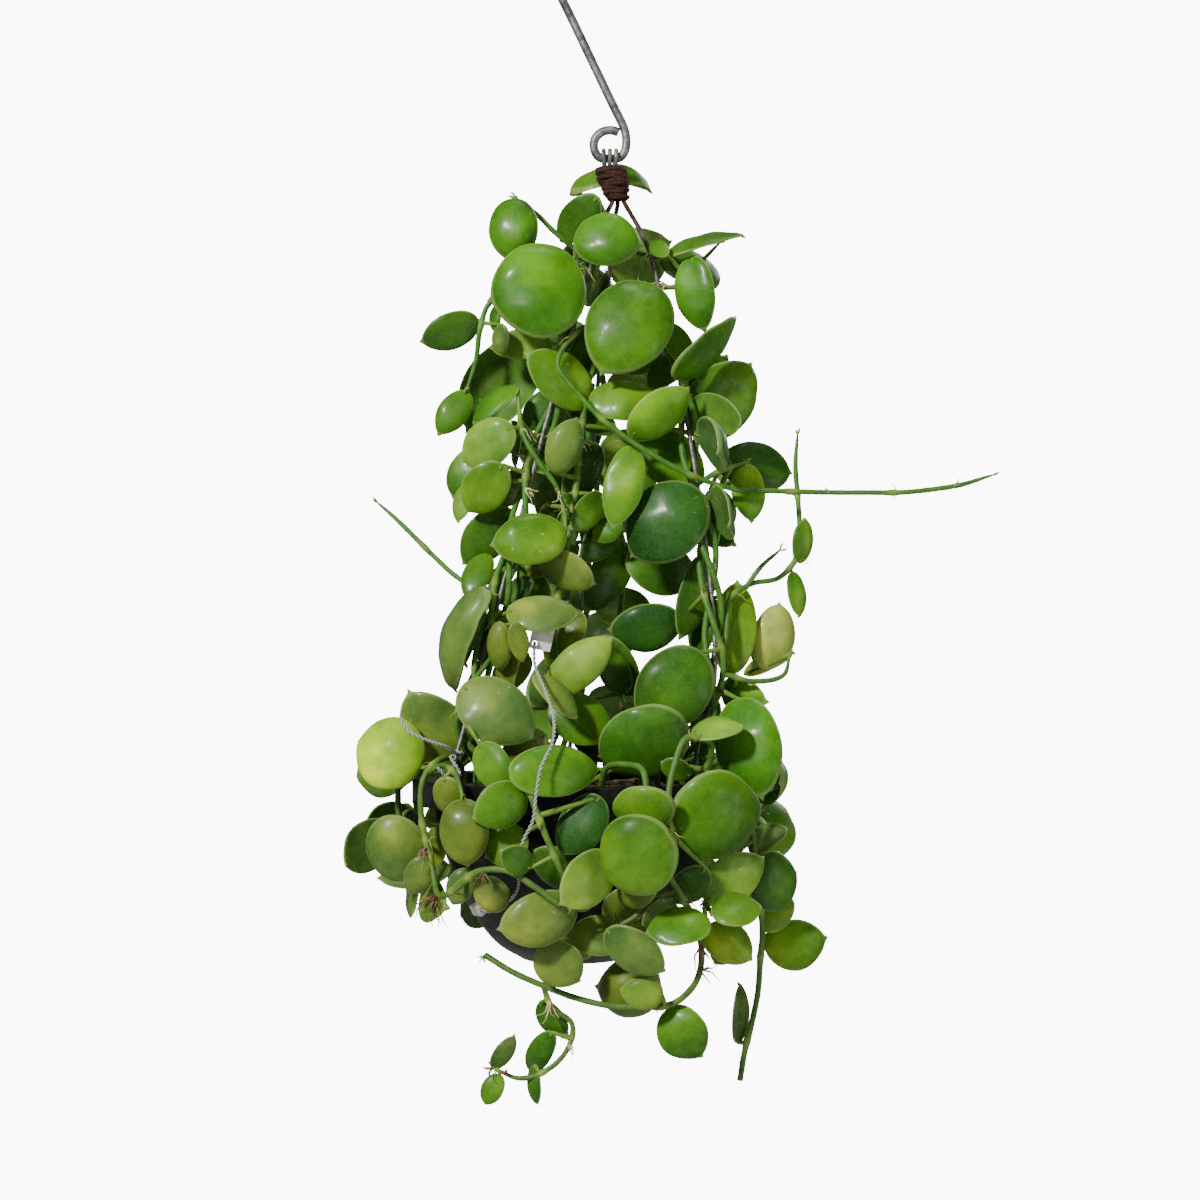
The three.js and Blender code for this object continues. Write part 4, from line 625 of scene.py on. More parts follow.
def hook_route():
    centre_down = CROOK_R - HOOK_WIRE_R
    last_turn = 180 + SHANK_LEAN_DEG
    turns = 16
    points = []
    for i in range(turns + 1):
        turn = math.radians(CROOK_TIP_DEG + (last_turn - CROOK_TIP_DEG) * i / turns)
        points.append(at(CROOK_R * math.cos(turn), centre_down - CROOK_R * math.sin(turn), 0))
    drop = vector(math.tan(math.radians(SHANK_LEAN_DEG)), 0, -1) * SHANK_DROP
    points.extend([points[-1] + drop * share for share in (0.35, 0.7, 1)])
    w = EYE_HALF_WIDTH
    h = EYE_HALF_HEIGHT
    ring = [[0.9 * w, -1.25 * h], [1.02 * w, -0.35 * h], [0.95 * w, 0.35 * h], [0.72 * w, 0.82 * h],
            [0.45 * w, h], [0, h], [-0.45 * w, h], [-0.78 * w, 0.8 * h], [-w, 0.2 * h], [-0.94 * w, -0.5 * h],
            [-0.55 * w, -h], [-0.1 * w, -1.17 * h], [0.3 * w, -1.12 * h], [0.54 * w, -h]]
    points.extend(at(across, EYE_DOWN + down, 0) for across, down in ring)
    return np.array(points)


def lean_of(down):
    return BINDING_LEAN * (down - BINDING_TOP_DOWN)


def hanger_route(name):
    wire = HANGER_WIRES[name]
    slot_across, slot_out = wire["strand"]
    side = wire["front"]
    above = (BINDING_TOP_DOWN - 0.4, max(slot_out, STRAND_TOP_OUT))
    inside = (BINDING_TOP_DOWN + 6, slot_out)
    end_down = BINDING_TOP_DOWN + BINDING_LENGTH

    def strand(level, hand):
        down, out = level
        return at(slot_across + lean_of(down), down, hand * out)

    points = [strand(level, -side) for level in ((end_down - 1, slot_out), inside, above)]
    for i in range(LOOP_STEPS + 1):
        turn = math.pi * i / LOOP_STEPS
        down = AXIS_DOWN - LOOP_R * math.sin(turn)
        points.append(at(wire["across"], down, -side * LOOP_R * math.cos(turn)))
    points.extend(strand(level, side) for level in (above, inside, (end_down, slot_out)))
    points.extend(at(*place) for place in wire["route"])
    foot_down = RIM_DOWN + FLANGE_THICK + RUNNING_GAP + HANGER_WIRE_R
    foot_turn = math.degrees(HOOK_FOOT / WIRE_HOLE_RING_R)
    foot = ((0, RIM_DOWN - 5), (0, RIM_DOWN + 1), (0, foot_down - 0.6), (0.2, foot_down), (1, foot_down))
    for share, down in foot:
        points.append(around_pot(RIM_ANGLES[name] + foot_turn * share, WIRE_HOLE_RING_R, down))
    return np.array(points)


def wall_radius(down):
    for (low_r, low_down), (high_r, high_down) in zip(BOWL, BOWL[1:]):
        if high_down <= down <= low_down:
            return low_r + (high_r - low_r) * (low_down - down) / (low_down - high_down)
    return BOWL[0][0]


class Placement:
    """A place and three axes of its own."""

    def __init__(self, origin, x, y, z):
        self.origin = origin
        self.axes = np.array([x, y, z])

    def put(self, points):
        return self.origin + np.asarray(points, float) @ self.axes


def tag_placement():
    lean = math.radians(TAG_LEAN_DEG)
    x = vector(math.cos(lean), 0, math.sin(lean))
    y = vector(-math.sin(lean), 0, math.cos(lean))
    return Placement(seen(TAG_PLACE), x, y, vector(0, -1, 0))


def clip_placement():
    foot = around_pot(CLIP_ANGLE, wall_radius(CLIP_DOWN), CLIP_DOWN)
    slope = unit(around_pot(CLIP_ANGLE, wall_radius(CLIP_DOWN - CLIP_RISE), CLIP_DOWN - CLIP_RISE) - foot)
    radial = around_pot(CLIP_ANGLE, 1, 0) - around_pot(CLIP_ANGLE, 0, 0)
    outwards = unit(radial - slope * radial.dot(slope))
    place = foot + outwards * (SEAT_GAP + CLIP_SIZE[1] / 2)
    return Placement(place, slope, outwards, np.cross(slope, outwards))


def tag_string_route():
    tag = tag_placement()
    clip = clip_placement()
    hole = [TAG_HOLE_INSET - side / 2 for side in TAG_SIZE[:2]]
    side = 1 if clip.put([0, 0, 1])[0] > clip.put([0, 0, -1])[0] else -1
    in_tag = [tag.put([*hole, depth]) for depth in (-2.5, 0, 3)]
    in_clip = [clip.put([0, 0, side * depth]) for depth in (9, 4, -1)]
    return np.array(in_tag + [seen(place) for place in TAG_STRING] + in_clip)


def wire_at(name, down):
    route = hanger_route(name)
    below = max(i for i, place in enumerate(route) if -place[2] < down) + 1
    high, low = route[below - 1], route[below]
    return high + (low - high) * ((down + high[2]) / (high[2] - low[2]))


def tie_string_route():
    loop_r = HANGER_WIRE_R + STRING_R + SEAT_GAP + 0.3
    loop = []
    for i in range(9):
        turn = math.radians(-120 + 40 * i)
        held = wire_at("left", TIE_DOWN + 0.3 * i)
        loop.append(held + vector(loop_r * math.cos(turn), loop_r * math.sin(turn), 0))
    return np.array([seen(place) for place in TIE_STRING] + loop + [seen(place) for place in TIE_STRING_END])


# Room taken, and the stems that bend clear of it

class Room:
    """Beads along what is already placed. A new stem keeps clear of every bead that isn't its own."""

    def __init__(self):
        self.places = []
        self.radii = []
        self.owners = []

    def add(self, places, radius, owner):
        self.places.extend(places)
        self.radii.extend([radius] * len(places))
        self.owners.extend([owner] * len(places))

    def others(self, owner):
        keep = np.array([other != owner for other in self.owners])
        return np.array(self.places)[keep], np.array(self.radii)[keep]


room = Room()


def pot_push(places, radius):
    """How far each place of a stem has to move to stand clear of the pot's rim and wall."""
    pushes = np.zeros_like(places)
    for i, place in enumerate(places):
        down = -place[2]
        if down < RIM_DOWN - radius or down > POT_BOTTOM_DOWN + radius:
            continue
        reach = math.hypot(place[0] - POT_ACROSS, place[1])
        inside = reach < RIM_R + radius
        if down >= RIM_DOWN + RIM_SKIRT + radius:
            inside = reach < wall_radius(down) + radius * 1.2
        if reach < MOUTH_R - radius or not inside:
            continue
        if reach < RIM_R - 1 and down < RIM_DOWN + 5:
            pushes[i] = vector(0, 0, down + radius - RIM_DOWN)
        else:
            pushes[i] = unit(vector(place[0] - POT_ACROSS, place[1], 0)) * 0.5
    return pushes


def bend_clear(points, radius, owner, kept):
    """A stem's rings, moved until its straight runs stand clear of other stems, wires and the pot."""
    rings = spread(points, STEM_STEP)
    beads, radii = room.others(owner)
    near = ((beads > rings.min(0) - BEND_REACH) & (beads < rings.max(0) + BEND_REACH)).all(1)
    beads, sizes = beads[near], radii[near] + radius + STEM_MARGIN
    shares = np.arange(5) / 4
    for _ in range(BEND_ROUNDS):
        starts = rings[:-1, None]
        places = (starts + (rings[1:, None] - starts) * shares[None, :, None]).reshape(-1, 3)
        push = pot_push(places, radius + STEM_MARGIN)
        gaps = places[:, None] - beads[None]
        fars = np.sqrt((gaps ** 2).sum(2))
        depths = sizes[None] - fars
        pressed = (depths > 0) & (fars >= 0.01)
        weights = np.where(pressed, 0.3 * depths / np.maximum(fars, 0.01), 0)
        push = (push + (gaps * weights[:, :, None]).sum(1)).reshape(len(rings) - 1, 5, 3)
        moves = np.zeros_like(rings)
        moves[:-1] += 0.6 * (push * (1 - shares)[None, :, None]).sum(1)
        moves[1:] += 0.6 * (push * shares[None, :, None]).sum(1)
        rings[kept:] += moves[kept:]
    return rings


def places_along(points, first, last, gap):
    """The points between two depths that lie at least a newly drawn gap below the one before."""
    due = first
    for point in points:
        down = -point[2]
        if due <= down <= last:
            due = down + gap()
            yield point


def climb_route(wire_name, start_turn, top_down):
    """A route up round a wire, from just over the rim."""
    wire = [at(HANGER_WIRES[wire_name]["strand"][0], 126, 0)]
    wire.extend(at(*place) for place in HANGER_WIRES[wire_name]["route"])
    points = []
    last = math.inf
    for place in along_rings(np.array(wire))[::-1]:
        down = -place[2]
        if top_down <= down <= RIM_DOWN - 20 and last - down >= CLIMB_STEP:
            last = down
            turn = 2 * math.pi * (start_turn + down / CLIMB_PITCH)
            points.append(place + vector(CLIMB_OFFSET * math.cos(turn), CLIMB_OFFSET * math.sin(turn), 0))
    return points


def root_route(angle, radius):
    levels = (MIX_TOP_DOWN + ROOT_DEPTH - 4, MIX_TOP_DOWN - 4, RIM_DOWN - 6)
    return [around_pot(angle, radius, down) for down in levels]


def nearest_first(choices, place):
    return np.argsort(lengths_of(choices - place), kind="stable")[:JOIN_CHOICES]


def join_for(lines, place, radius, owner):
    """The nearest place of a plant's stems from which a straight shoot to a place touches nothing else."""
    choices = np.concatenate(lines)
    order = nearest_first(choices, place)
    beads, radii = room.others(owner)
    for i in order:
        way = spread([choices[i], place], 2)[1:]
        if not (lengths_of(way[:, None] - beads[None]) < radii[None] + radius).any():
            return choices[i]
    return choices[order[0]]


class Vine:
    """One leafy stem: the lines and rings of its main stem and shoots, and its leaves."""

    def __init__(self, name):
        self.name = name
        self.lines = []
        self.tubes = []
        self.leaves = []

    def grow_stem(self, points, radius, kept):
        rings = bend_clear(points, radius, self.name, kept)
        line = along_rings(rings)
        self.lines.append(line)
        self.tubes.append((rings, radius))
        room.add(list(line), radius + 0.2, self.name)

    def grow(self, main, shoots):
        self.grow_stem(main, STEM_R, 2)
        for shoot in shoots:
            join = join_for(self.lines, shoot[0], SHOOT_R, self.name)
            self.grow_stem([join, *shoot], SHOOT_R, 1)

    def know_solid(self):
        """Keeps the corners of the vine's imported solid, to tell which leaves it has."""
        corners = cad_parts[self.name].data.vertices
        self.corners = KDTree(len(corners))
        for i, corner in enumerate(corners):
            self.corners.insert(corner.co / MM, i)
        self.corners.balance()

    def misfit(self, points):
        """How far the points are from the nearest corners of the solid, at the worst."""
        return max(self.corners.find(Vector(point))[2] for point in points)

    def takes(self, leaf):
        """Hangs a leaf on the vine, if the vine's solid has it there, and finds where its stalk starts."""
        tip = leaf.base + leaf.along * leaf.length
        if self.misfit([tip]) > MATCH:
            return False
        edges = [0.7, 0.7] if leaf.length < 20 else [0.46, 0.46]
        if self.misfit(leaf.points(edges, [-1, 1], [0, 0])) >= MATCH:
            return False
        choices = np.concatenate(self.lines)
        order = nearest_first(choices, leaf.base)
        found = [(self.misfit(leaf.stalk_ring(choices[i])), i)
                 for i in order if lengths_of(choices[i] - leaf.base) > 0.05]
        best, at_point = min(found) if found else (1, order[0])
        leaf.start = choices[at_point if best < 0.2 else order[0]]
        self.leaves.append(leaf)
        return True


# Leaves

class Leaf:
    """A leaf's own frame, its size, kind and tint, and where its stalk leaves the stem."""

    def __init__(self, base, tip, towards, width, kind, tint):
        self.base = base
        self.length = lengths_of(tip - base)
        self.along = (tip - base) / self.length
        self.face = unit(towards - self.along * towards.dot(self.along))
        self.side = np.cross(self.face, self.along)
        self.width = width
        self.kind = LEAF_KINDS[kind]
        self.is_pouch = kind == "pouch"
        self.tint = tint
        self.start = base

    def roll(self, degrees):
        turn = math.radians(degrees)
        self.face = self.face * math.cos(turn) + np.cross(self.along, self.face) * math.sin(turn)
        self.side = np.cross(self.face, self.along)

    def points(self, t, s, lift):
        """Points of the leaf: t runs from base to tip, s from edge to edge, and lift along its face."""
        t, s, lift = (np.asarray(value, float)[..., None] for value in (t, s, lift))
        broad = outline(t)
        rise = self.kind["dome"] * self.width * broad * (1 - s * s)
        rise = rise + self.kind["arch"] * self.length * 4 * t * (1 - t)
        return (self.base + self.along * t * self.length + self.side * 0.5 * s * self.width * broad
                + self.face * (rise + lift))

    def half_thick(self, t):
        return 0.5 * (self.kind["thick"] + self.kind["share"] * self.width) * np.sqrt(outline(t))

    def stalk_ring(self, start):
        """The corners of the stalk where it meets the leaf, for a stalk that starts at a place."""
        way = unit(unit(self.base - start) + self.along)
        side = unit(np.cross(way, self.face)) * PETIOLE_R
        up = unit(np.cross(side, way)) * PETIOLE_R
        return [self.base + side, self.base + up, self.base - side, self.base - up]


def outline(t):
    """How broad a leaf is along its length, against its width."""
    u = (np.asarray(t, float) - LEAF_BROADEST) / LEAF_HALF_RUN
    return np.maximum(0, 1 - u * u) ** 0.46


def front_leaf(entry, shift, tilt, share):
    a0, d0, a1, d1, width, out, lean, roll, kind, tint = entry
    base = seen([a0, d0, out + shift - (lean + tilt) / 2])
    tip = seen([a1, d1, out + shift + (lean + tilt) / 2])
    tip = tip + (base - tip) * (1 - share)
    leaf = Leaf(base, tip, vector(0, -1, 0), width * share, kind, tint)
    leaf.roll(roll)
    return leaf


def place_front_leaf(vine, entry):
    """Tries the part's own order of sizes, shifts and tilts until the vine has such a leaf."""
    for share, shift, tilt in product(SHARES, SHIFTS, TILTS):
        if vine.takes(front_leaf(entry, shift, tilt, share)):
            return


def place_grown_leaf(vine, start, way, towards, length, width, kind, tint):
    for share, lift in product(GROWN_SHARES, GROWN_LIFTS):
        along = unit(way + towards * lift)
        base = start + along * 4
        if vine.takes(Leaf(base, base + along * length * share, towards, width * share, kind, tint)):
            return


def place_pair(vine, start, sideways, towards, draw):
    drop = vector(0, 0, -1)
    for hand in (1, -1):
        length = 24 + 11 * next(draw)
        width = length * (0.62 + 0.2 * next(draw))
        kind = FILL_KINDS[int(next(draw) * len(FILL_KINDS))]
        way = sideways * hand + towards * (0.25 + 0.4 * next(draw))
        way = way + drop * (0.5 * next(draw) - 0.1)
        face = towards + drop * (0.5 - 0.9 * next(draw))
        tint = FILL_TINTS[int(abs(start[0] * 7 + start[2] * 3 + hand)) % len(FILL_TINTS)]
        if kind == "pouch":
            width *= 0.7
        place_grown_leaf(vine, start, way, face, length, width, kind, tint)


def rear_pairs(vine, highest, lowest, spacing, seed):
    draw = draws(seed)
    outwards = vector(-1 if "left" in vine.name else 1, 0.2, 0)
    pairs = places_along(vine.lines[0][::-1], highest, lowest, lambda: spacing * (0.85 + 0.3 * next(draw)))
    for k, point in enumerate(pairs):
        if k % 2:
            place_pair(vine, point, vector(1, 0, 0), vector(0, 1, 0), draw)
        else:
            place_pair(vine, point, vector(0.5, 0.85, 0), outwards, draw)


def trail(vine, angle, drop, seed):
    """Grows a stem over the rim. The function that it gives adds the leaves when every stem has grown."""
    draw = draws(seed)
    sway = 14 * next(draw) - 7
    over_rim = ((0.3, 60, -7), (0.5, 68, -2), (0.7, 70, 12), (1, 67, drop * 0.6), (1.3, 62, drop))
    vine.grow(root_route(angle, 44) + [around_pot(angle + sway * share, radius, RIM_DOWN + down)
                                       for share, radius, down in over_rim], [])

    def fill():
        line = vine.lines[0]
        aways = line * [1, 1, 0] - [POT_ACROSS, 0, 0]
        outside = line[np.argmax(lengths_of(aways) > 58):]
        for point in places_along(outside, RIM_DOWN - 6, math.inf, lambda: 20 + 6 * next(draw)):
            away = unit(vector(point[0] - POT_ACROSS, point[1], 0))
            place_pair(vine, point, vector(-away[1], away[0], 0), away, draw)

    return fill


def back_climb(vine, start_turn, top_down, root_angle, seed):
    """Grows a stem up the back wire. The function that it gives adds the leaves afterwards."""
    draw = draws(seed)
    vine.grow(root_route(root_angle, 40) + climb_route("back", start_turn, top_down), [])

    def fill():
        pairs = places_along(vine.lines[0][::-1], top_down + 4, RIM_DOWN - 14, lambda: 21 + 7 * next(draw))
        for k, point in enumerate(pairs):
            sideways = vector(1, 0, 0) if k % 2 else vector(0.7, 0.2, 0.5)
            place_pair(vine, point, sideways, vector(0.15, 1, 0), draw)

    return fill


def take_room():
    """The beads of the hook, wires, strings, tag and clip, in the order of the part's source."""
    room.add(list(along_rings(hook_route())), HOOK_WIRE_R + 2.5, "hook")
    for name in HANGER_WIRES:
        room.add(list(along_rings(hanger_route(name))), HANGER_WIRE_R + 0.4, "hanger")
    end_down = BINDING_TOP_DOWN + BINDING_LENGTH
    binding = [at(0, BINDING_TOP_DOWN, 0), at(lean_of(end_down), end_down, 0)]
    room.add(list(spread(binding, 2)), BINDING_R, "binding")
    for route in (tag_string_route(), tie_string_route()):
        room.add(list(along_rings(route)), STRING_R + 0.5, "strings")
    room.add(list(spread([seen([-31, 297, 37]), seen([-23.5, 302, 37])], 2)), 4, "tag")
    room.add([clip_placement().origin], 4, "clip")


def grow_plants():
    """Every vine with its stems bent clear and the leaves that its solid has."""
    take_room()
    vines = {}
    for name, given in VINES.items():
        vine = vines[name] = Vine(name)
        rise = climb_route(*given["climbs"]) if "climbs" in given else [seen(p) for p in given["rises"]]
        shoots = [[seen(place) for place in shoot] for shoot in given["shoots"]]
        vine.grow(root_route(*given["root"]) + rise, shoots)
    fills = []
    for rule, rows in ((back_climb, BACK_CLIMBS), (trail, POT_TRAILS)):
        for name, *facts in rows:
            vine = vines[name] = Vine(name)
            fills.append(rule(vine, *facts))
    for vine in vines.values():
        vine.know_solid()
    for name, given in VINES.items():
        for entry in given["leaves"] + FILLERS.get(name, []):
            place_front_leaf(vines[name], entry)
    for name, *facts in REAR_PAIRS:
        rear_pairs(vines[name], *facts)
    for fill in fills:
        fill()
    return vines


# Shapes

TUBE_POLE = 0.4


def signed_power(values, power):
    return np.sign(values) * np.abs(values) ** power


def add_object(name, data):
    """A new object of the scene."""
    thing = bpy.data.objects.new(name, data)
    bpy.context.scene.collection.objects.link(thing)
    return thing


def all_smooth(mesh):
    mesh.polygons.foreach_set("use_smooth", [True] * len(mesh.polygons))


def paint(piece, material):
    piece.data.materials.clear()
    piece.data.materials.append(material)


class Skin:
    """The points, faces and marks of one piece, gathered from many parts. A mark is a colour and a fourth
    number that says how near a point is to the rim of a leaf or to a node of a stem."""

    def __init__(self):
        self.points = []
        self.quads = []
        self.triangles = []
        self.marks = []
        self.spots = []
        self.count = 0

    def add(self, points, quads, triangles, marks, spots):
        self.points.append(points)
        self.quads.append(np.reshape(quads, (-1, 4)).astype(int) + self.count)
        self.triangles.append(np.reshape(triangles, (-1, 3)).astype(int) + self.count)
        self.marks.append(np.broadcast_to(marks, (len(points), 4)))
        self.spots.append(spots)
        self.count += len(points)

    def piece(self, name, material):
        mesh = bpy.data.meshes.new(name)
        points = np.concatenate(self.points) * MM
        faces = np.concatenate(self.quads).tolist() + np.concatenate(self.triangles).tolist()
        mesh.from_pydata(points, [], faces)
        marks = mesh.color_attributes.new("mark", "FLOAT_COLOR", "POINT")
        marks.data.foreach_set("color", np.concatenate(self.marks).astype(np.float32).ravel())
        spots = np.concatenate(self.spots).astype(np.float32)
        corners = np.zeros(len(mesh.loops), np.int32)
        mesh.loops.foreach_get("vertex_index", corners)
        layer = mesh.uv_layers.new(name="run")
        layer.data.foreach_set("uv", spots[corners].ravel())
        all_smooth(mesh)
        mesh.materials.append(material)
        mesh.update()
        return add_object(name, mesh)


def smooth_line(points, per_run):
    """A centripetal curve through the points, with so many steps to each run."""
    points = np.asarray(points, float)
    points = points[lengths_of(np.diff(points, axis=0, prepend=points[:1] - 1)) > 0.02]
    ends = np.concatenate([[2 * points[0] - points[1]], points, [2 * points[-1] - points[-2]]])
    found = []
    shares = np.arange(per_run) / per_run
    for i in range(len(points) - 1):
        p = ends[i:i + 4]
        gaps = np.maximum(lengths_of(np.diff(p, axis=0)) ** 0.5, 1e-4)
        t0, t1, t2, t3 = np.concatenate([[0], np.cumsum(gaps)])
        t = (t1 + (t2 - t1) * shares)[:, None]
        a1 = p[0] * (t1 - t) / (t1 - t0) + p[1] * (t - t0) / (t1 - t0)
        a2 = p[1] * (t2 - t) / (t2 - t1) + p[2] * (t - t1) / (t2 - t1)
        a3 = p[2] * (t3 - t) / (t3 - t2) + p[3] * (t - t2) / (t3 - t2)
        b1 = a1 * (t2 - t) / (t2 - t0) + a2 * (t - t0) / (t2 - t0)
        b2 = a2 * (t3 - t) / (t3 - t1) + a3 * (t - t1) / (t3 - t1)
        found.extend(b1 * (t2 - t) / (t2 - t1) + b2 * (t - t1) / (t2 - t1))
    found.append(points[-1])
    return np.array(found)


def line_lengths(line):
    """How far along a line each of its points is."""
    return np.concatenate([[0], np.cumsum(lengths_of(np.diff(line, axis=0)))])


def line_frames(line):
    """The way of a line at each point, and two axes across it that turn as little as they can."""
    ways = np.gradient(line, axis=0)
    ways /= lengths_of(ways)[:, None]
    sides = [unit(np.cross(ways[0], [0.3, 0.5, 0.8]))]
    for way in ways[1:]:
        sides.append(unit(sides[-1] - way * sides[-1].dot(way)))
    sides = np.array(sides)
    return ways, sides, np.cross(ways, sides)


def add_tube(skin, line, radii, sides, marks):
    """A round tube along a line, closed by a point at each end."""
    line = np.asarray(line, float)
    count = len(line)
    radii = np.broadcast_to(radii, count)
    ways, across, up = line_frames(line)
    turns = 2 * math.pi * np.arange(sides) / sides
    ring = across[:, None] * np.cos(turns)[:, None] + up[:, None] * np.sin(turns)[:, None]
    points = (line[:, None] + ring * radii[:, None, None]).reshape(-1, 3)
    start = line[0] - ways[0] * radii[0] * TUBE_POLE
    end = line[-1] + ways[-1] * radii[-1] * TUBE_POLE
    i = np.repeat(np.arange(count - 1), sides) * sides
    j = np.tile(np.arange(sides), count - 1)
    k = (j + 1) % sides
    quads = np.stack([i + j, i + k, i + sides + k, i + sides + j], axis=1)
    j = np.arange(sides)
    k = (j + 1) % sides
    last = (count - 1) * sides
    first_pole = count * sides
    caps = np.concatenate([np.stack([k, j, np.full(sides, first_pole)], axis=1),
                           np.stack([last + j, last + k, np.full(sides, first_pole + 1)], axis=1)])
    lengths = line_lengths(line)
    spots = np.stack([np.tile(np.arange(sides) / sides, count), np.repeat(lengths, sides)], axis=1)
    spots = np.concatenate([spots, [[0, 0], [0, lengths[-1]]]])
    marks = np.asarray(marks, float)
    if marks.ndim == 2:
        marks = np.concatenate([np.repeat(marks, sides, axis=0), marks[:1], marks[-1:]])
    skin.add(np.concatenate([points, [start, end]]), quads, caps, marks, spots)


def linear(colour):
    """A colour from 0 to 255 as Blender's own linear one."""
    share = np.array(colour, float) / 255
    return np.where(share <= 0.04045, share / 12.92, ((share + 0.055) / 1.055) ** 2.4)


def deselect_all():
    for thing in bpy.context.selected_objects:
        thing.select_set(False)


def only(piece):
    deselect_all()
    piece.select_set(True)
    bpy.context.view_layer.objects.active = piece


@contextmanager
def edit_mode(piece):
    """Edit mode, with the whole of a piece selected."""
    only(piece)
    bpy.ops.object.mode_set(mode="EDIT")
    bpy.ops.mesh.select_all(action="SELECT")
    yield
    bpy.ops.object.mode_set(mode="OBJECT")


def apply_modifiers(piece):
    only(piece)
    for modifier in list(piece.modifiers):
        bpy.ops.object.modifier_apply(modifier=modifier.name)


def round_edges(piece, width, degrees):
    """Rounds the edges that bend by more than so many degrees. The width is in metres."""
    rounding = piece.modifiers.new("rounding", "BEVEL")
    rounding.width = width
    rounding.segments = 3
    rounding.limit_method = "ANGLE"
    rounding.angle_limit = math.radians(degrees)
    apply_modifiers(piece)


def primitive(add, **settings):
    """The points and faces of one of Blender's own shapes."""
    deselect_all()
    add(**settings)
    shape = bpy.context.object
    points = np.array([corner.co for corner in shape.data.vertices])
    faces = [tuple(face.vertices) for face in shape.data.polygons]
    bpy.data.objects.remove(shape)
    return points, faces


def dress(piece, body, slot, *nodes):
    """Lets a finished piece ride on its body in place of the nodes. The slot is not used."""
    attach(piece, body)
    if nodes:
        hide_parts(*nodes)


# Materials

class Nodes:
    """Short ways to add and join the nodes of a material or a node group."""

    def __init__(self, tree):
        self.tree = tree

    def add(self, kind, **settings):
        node = self.tree.nodes.new(kind)
        for name, value in settings.items():
            setattr(node, name, value)
        return node

    def fill(self, socket, value):
        """Joins an output to a socket, or sets the socket to a number or a linear colour."""
        if isinstance(value, bpy.types.NodeSocket):
            self.tree.links.new(value, socket)
        elif socket.type == "RGBA":
            socket.default_value = (*value[:3], 1) if hasattr(value, "__len__") else (value, value, value, 1)
        else:
            socket.default_value = value

    def made(self, kind, output, settings, **values):
        """The output of a new node whose sockets, by name, hold or read the values."""
        node = self.add(kind, **settings)
        for name, value in values.items():
            self.fill(node.inputs[name.replace("_", " ")], value)
        return node.outputs[output]

    def noise(self, place, scale, detail=3.0, rough=0.55, distortion=0.0):
        return self.made("ShaderNodeTexNoise", "Fac", {}, Vector=place, Scale=scale, Detail=detail,
                         Roughness=rough, Distortion=distortion)

    def ramp(self, value, low, high, start=0.0, end=1.0):
        """A value stretched from the range between low and high to the range between start and end."""
        return self.made("ShaderNodeMapRange", "Result", {"clamp": True}, Value=value, From_Min=low,
                         From_Max=high, To_Min=start, To_Max=end)

    def math(self, operation, first, second):
        node = self.add("ShaderNodeMath", operation=operation)
        for socket, value in zip(node.inputs, (first, second)):
            self.fill(socket, value)
        return node.outputs[0]

    def blend(self, first, first_share, second, second_share=1.0):
        """Two values added up, each times its share."""
        return self.math("ADD", self.math("MULTIPLY", first, first_share),
                         self.math("MULTIPLY", second, second_share))

    def mix(self, share, first, second, blend="MIX"):
        """A mix of two colours. A colour is an output or a linear colour."""
        node = self.add("ShaderNodeMix", data_type="RGBA", blend_type=blend)
        for index, value in ((0, share), (6, first), (7, second)):
            self.fill(node.inputs[index], value)
        return node.outputs[2]

    def apart(self, way):
        """The three numbers of a vector."""
        node = self.add("ShaderNodeSeparateXYZ")
        self.fill(node.inputs["Vector"], way)
        return node.outputs

    def group(self, maker, **values):
        """The outputs of a shared node group, which is made once."""
        node = self.add("ShaderNodeGroup", node_tree=bpy.data.node_groups.get(maker.__name__) or maker())
        for name, value in values.items():
            self.fill(node.inputs[name], value)
        return node.outputs


class Surface(Nodes):
    """A material with its Principled shader set, and the place that its pattern starts from."""

    def __init__(self, name, **settings):
        self.material = bpy.data.materials.new(name)
        self.material.use_nodes = True
        super().__init__(self.material.node_tree)
        self.place = self.add("ShaderNodeTexCoord").outputs["Object"]
        self.feed(**settings)

    def feed(self, **values):
        shader = self.tree.nodes["Principled BSDF"]
        for name, value in values.items():
            self.fill(shader.inputs[name.replace("_", " ")], value)

    def bump(self, height, distance, strength=1.0):
        self.feed(Normal=self.made("ShaderNodeBump", "Normal", {}, Height=height, Distance=distance,
                                   Strength=strength))

    def marks(self):
        outputs = self.add("ShaderNodeAttribute", attribute_name="mark").outputs
        return outputs["Color"], outputs["Alpha"]


def new_group(name, inputs, outputs):
    """A shader node group with its sockets: each input's default says its kind, and each output is named."""
    tree = bpy.data.node_groups.new(name, "ShaderNodeTree")
    for socket_name, default in inputs.items():
        kind = "Vector" if default is None else "Color" if isinstance(default, tuple) else "Float"
        socket = tree.interface.new_socket(name=socket_name, in_out="INPUT", socket_type=f"NodeSocket{kind}")
        if default is not None:
            socket.default_value = default
    for socket_name in outputs:
        kind = "Color" if socket_name == "Color" else "Float"
        tree.interface.new_socket(name=socket_name, in_out="OUTPUT", socket_type=f"NodeSocket{kind}")
    nodes = Nodes(tree)
    return nodes, nodes.add("NodeGroupInput").outputs, nodes.add("NodeGroupOutput").inputs


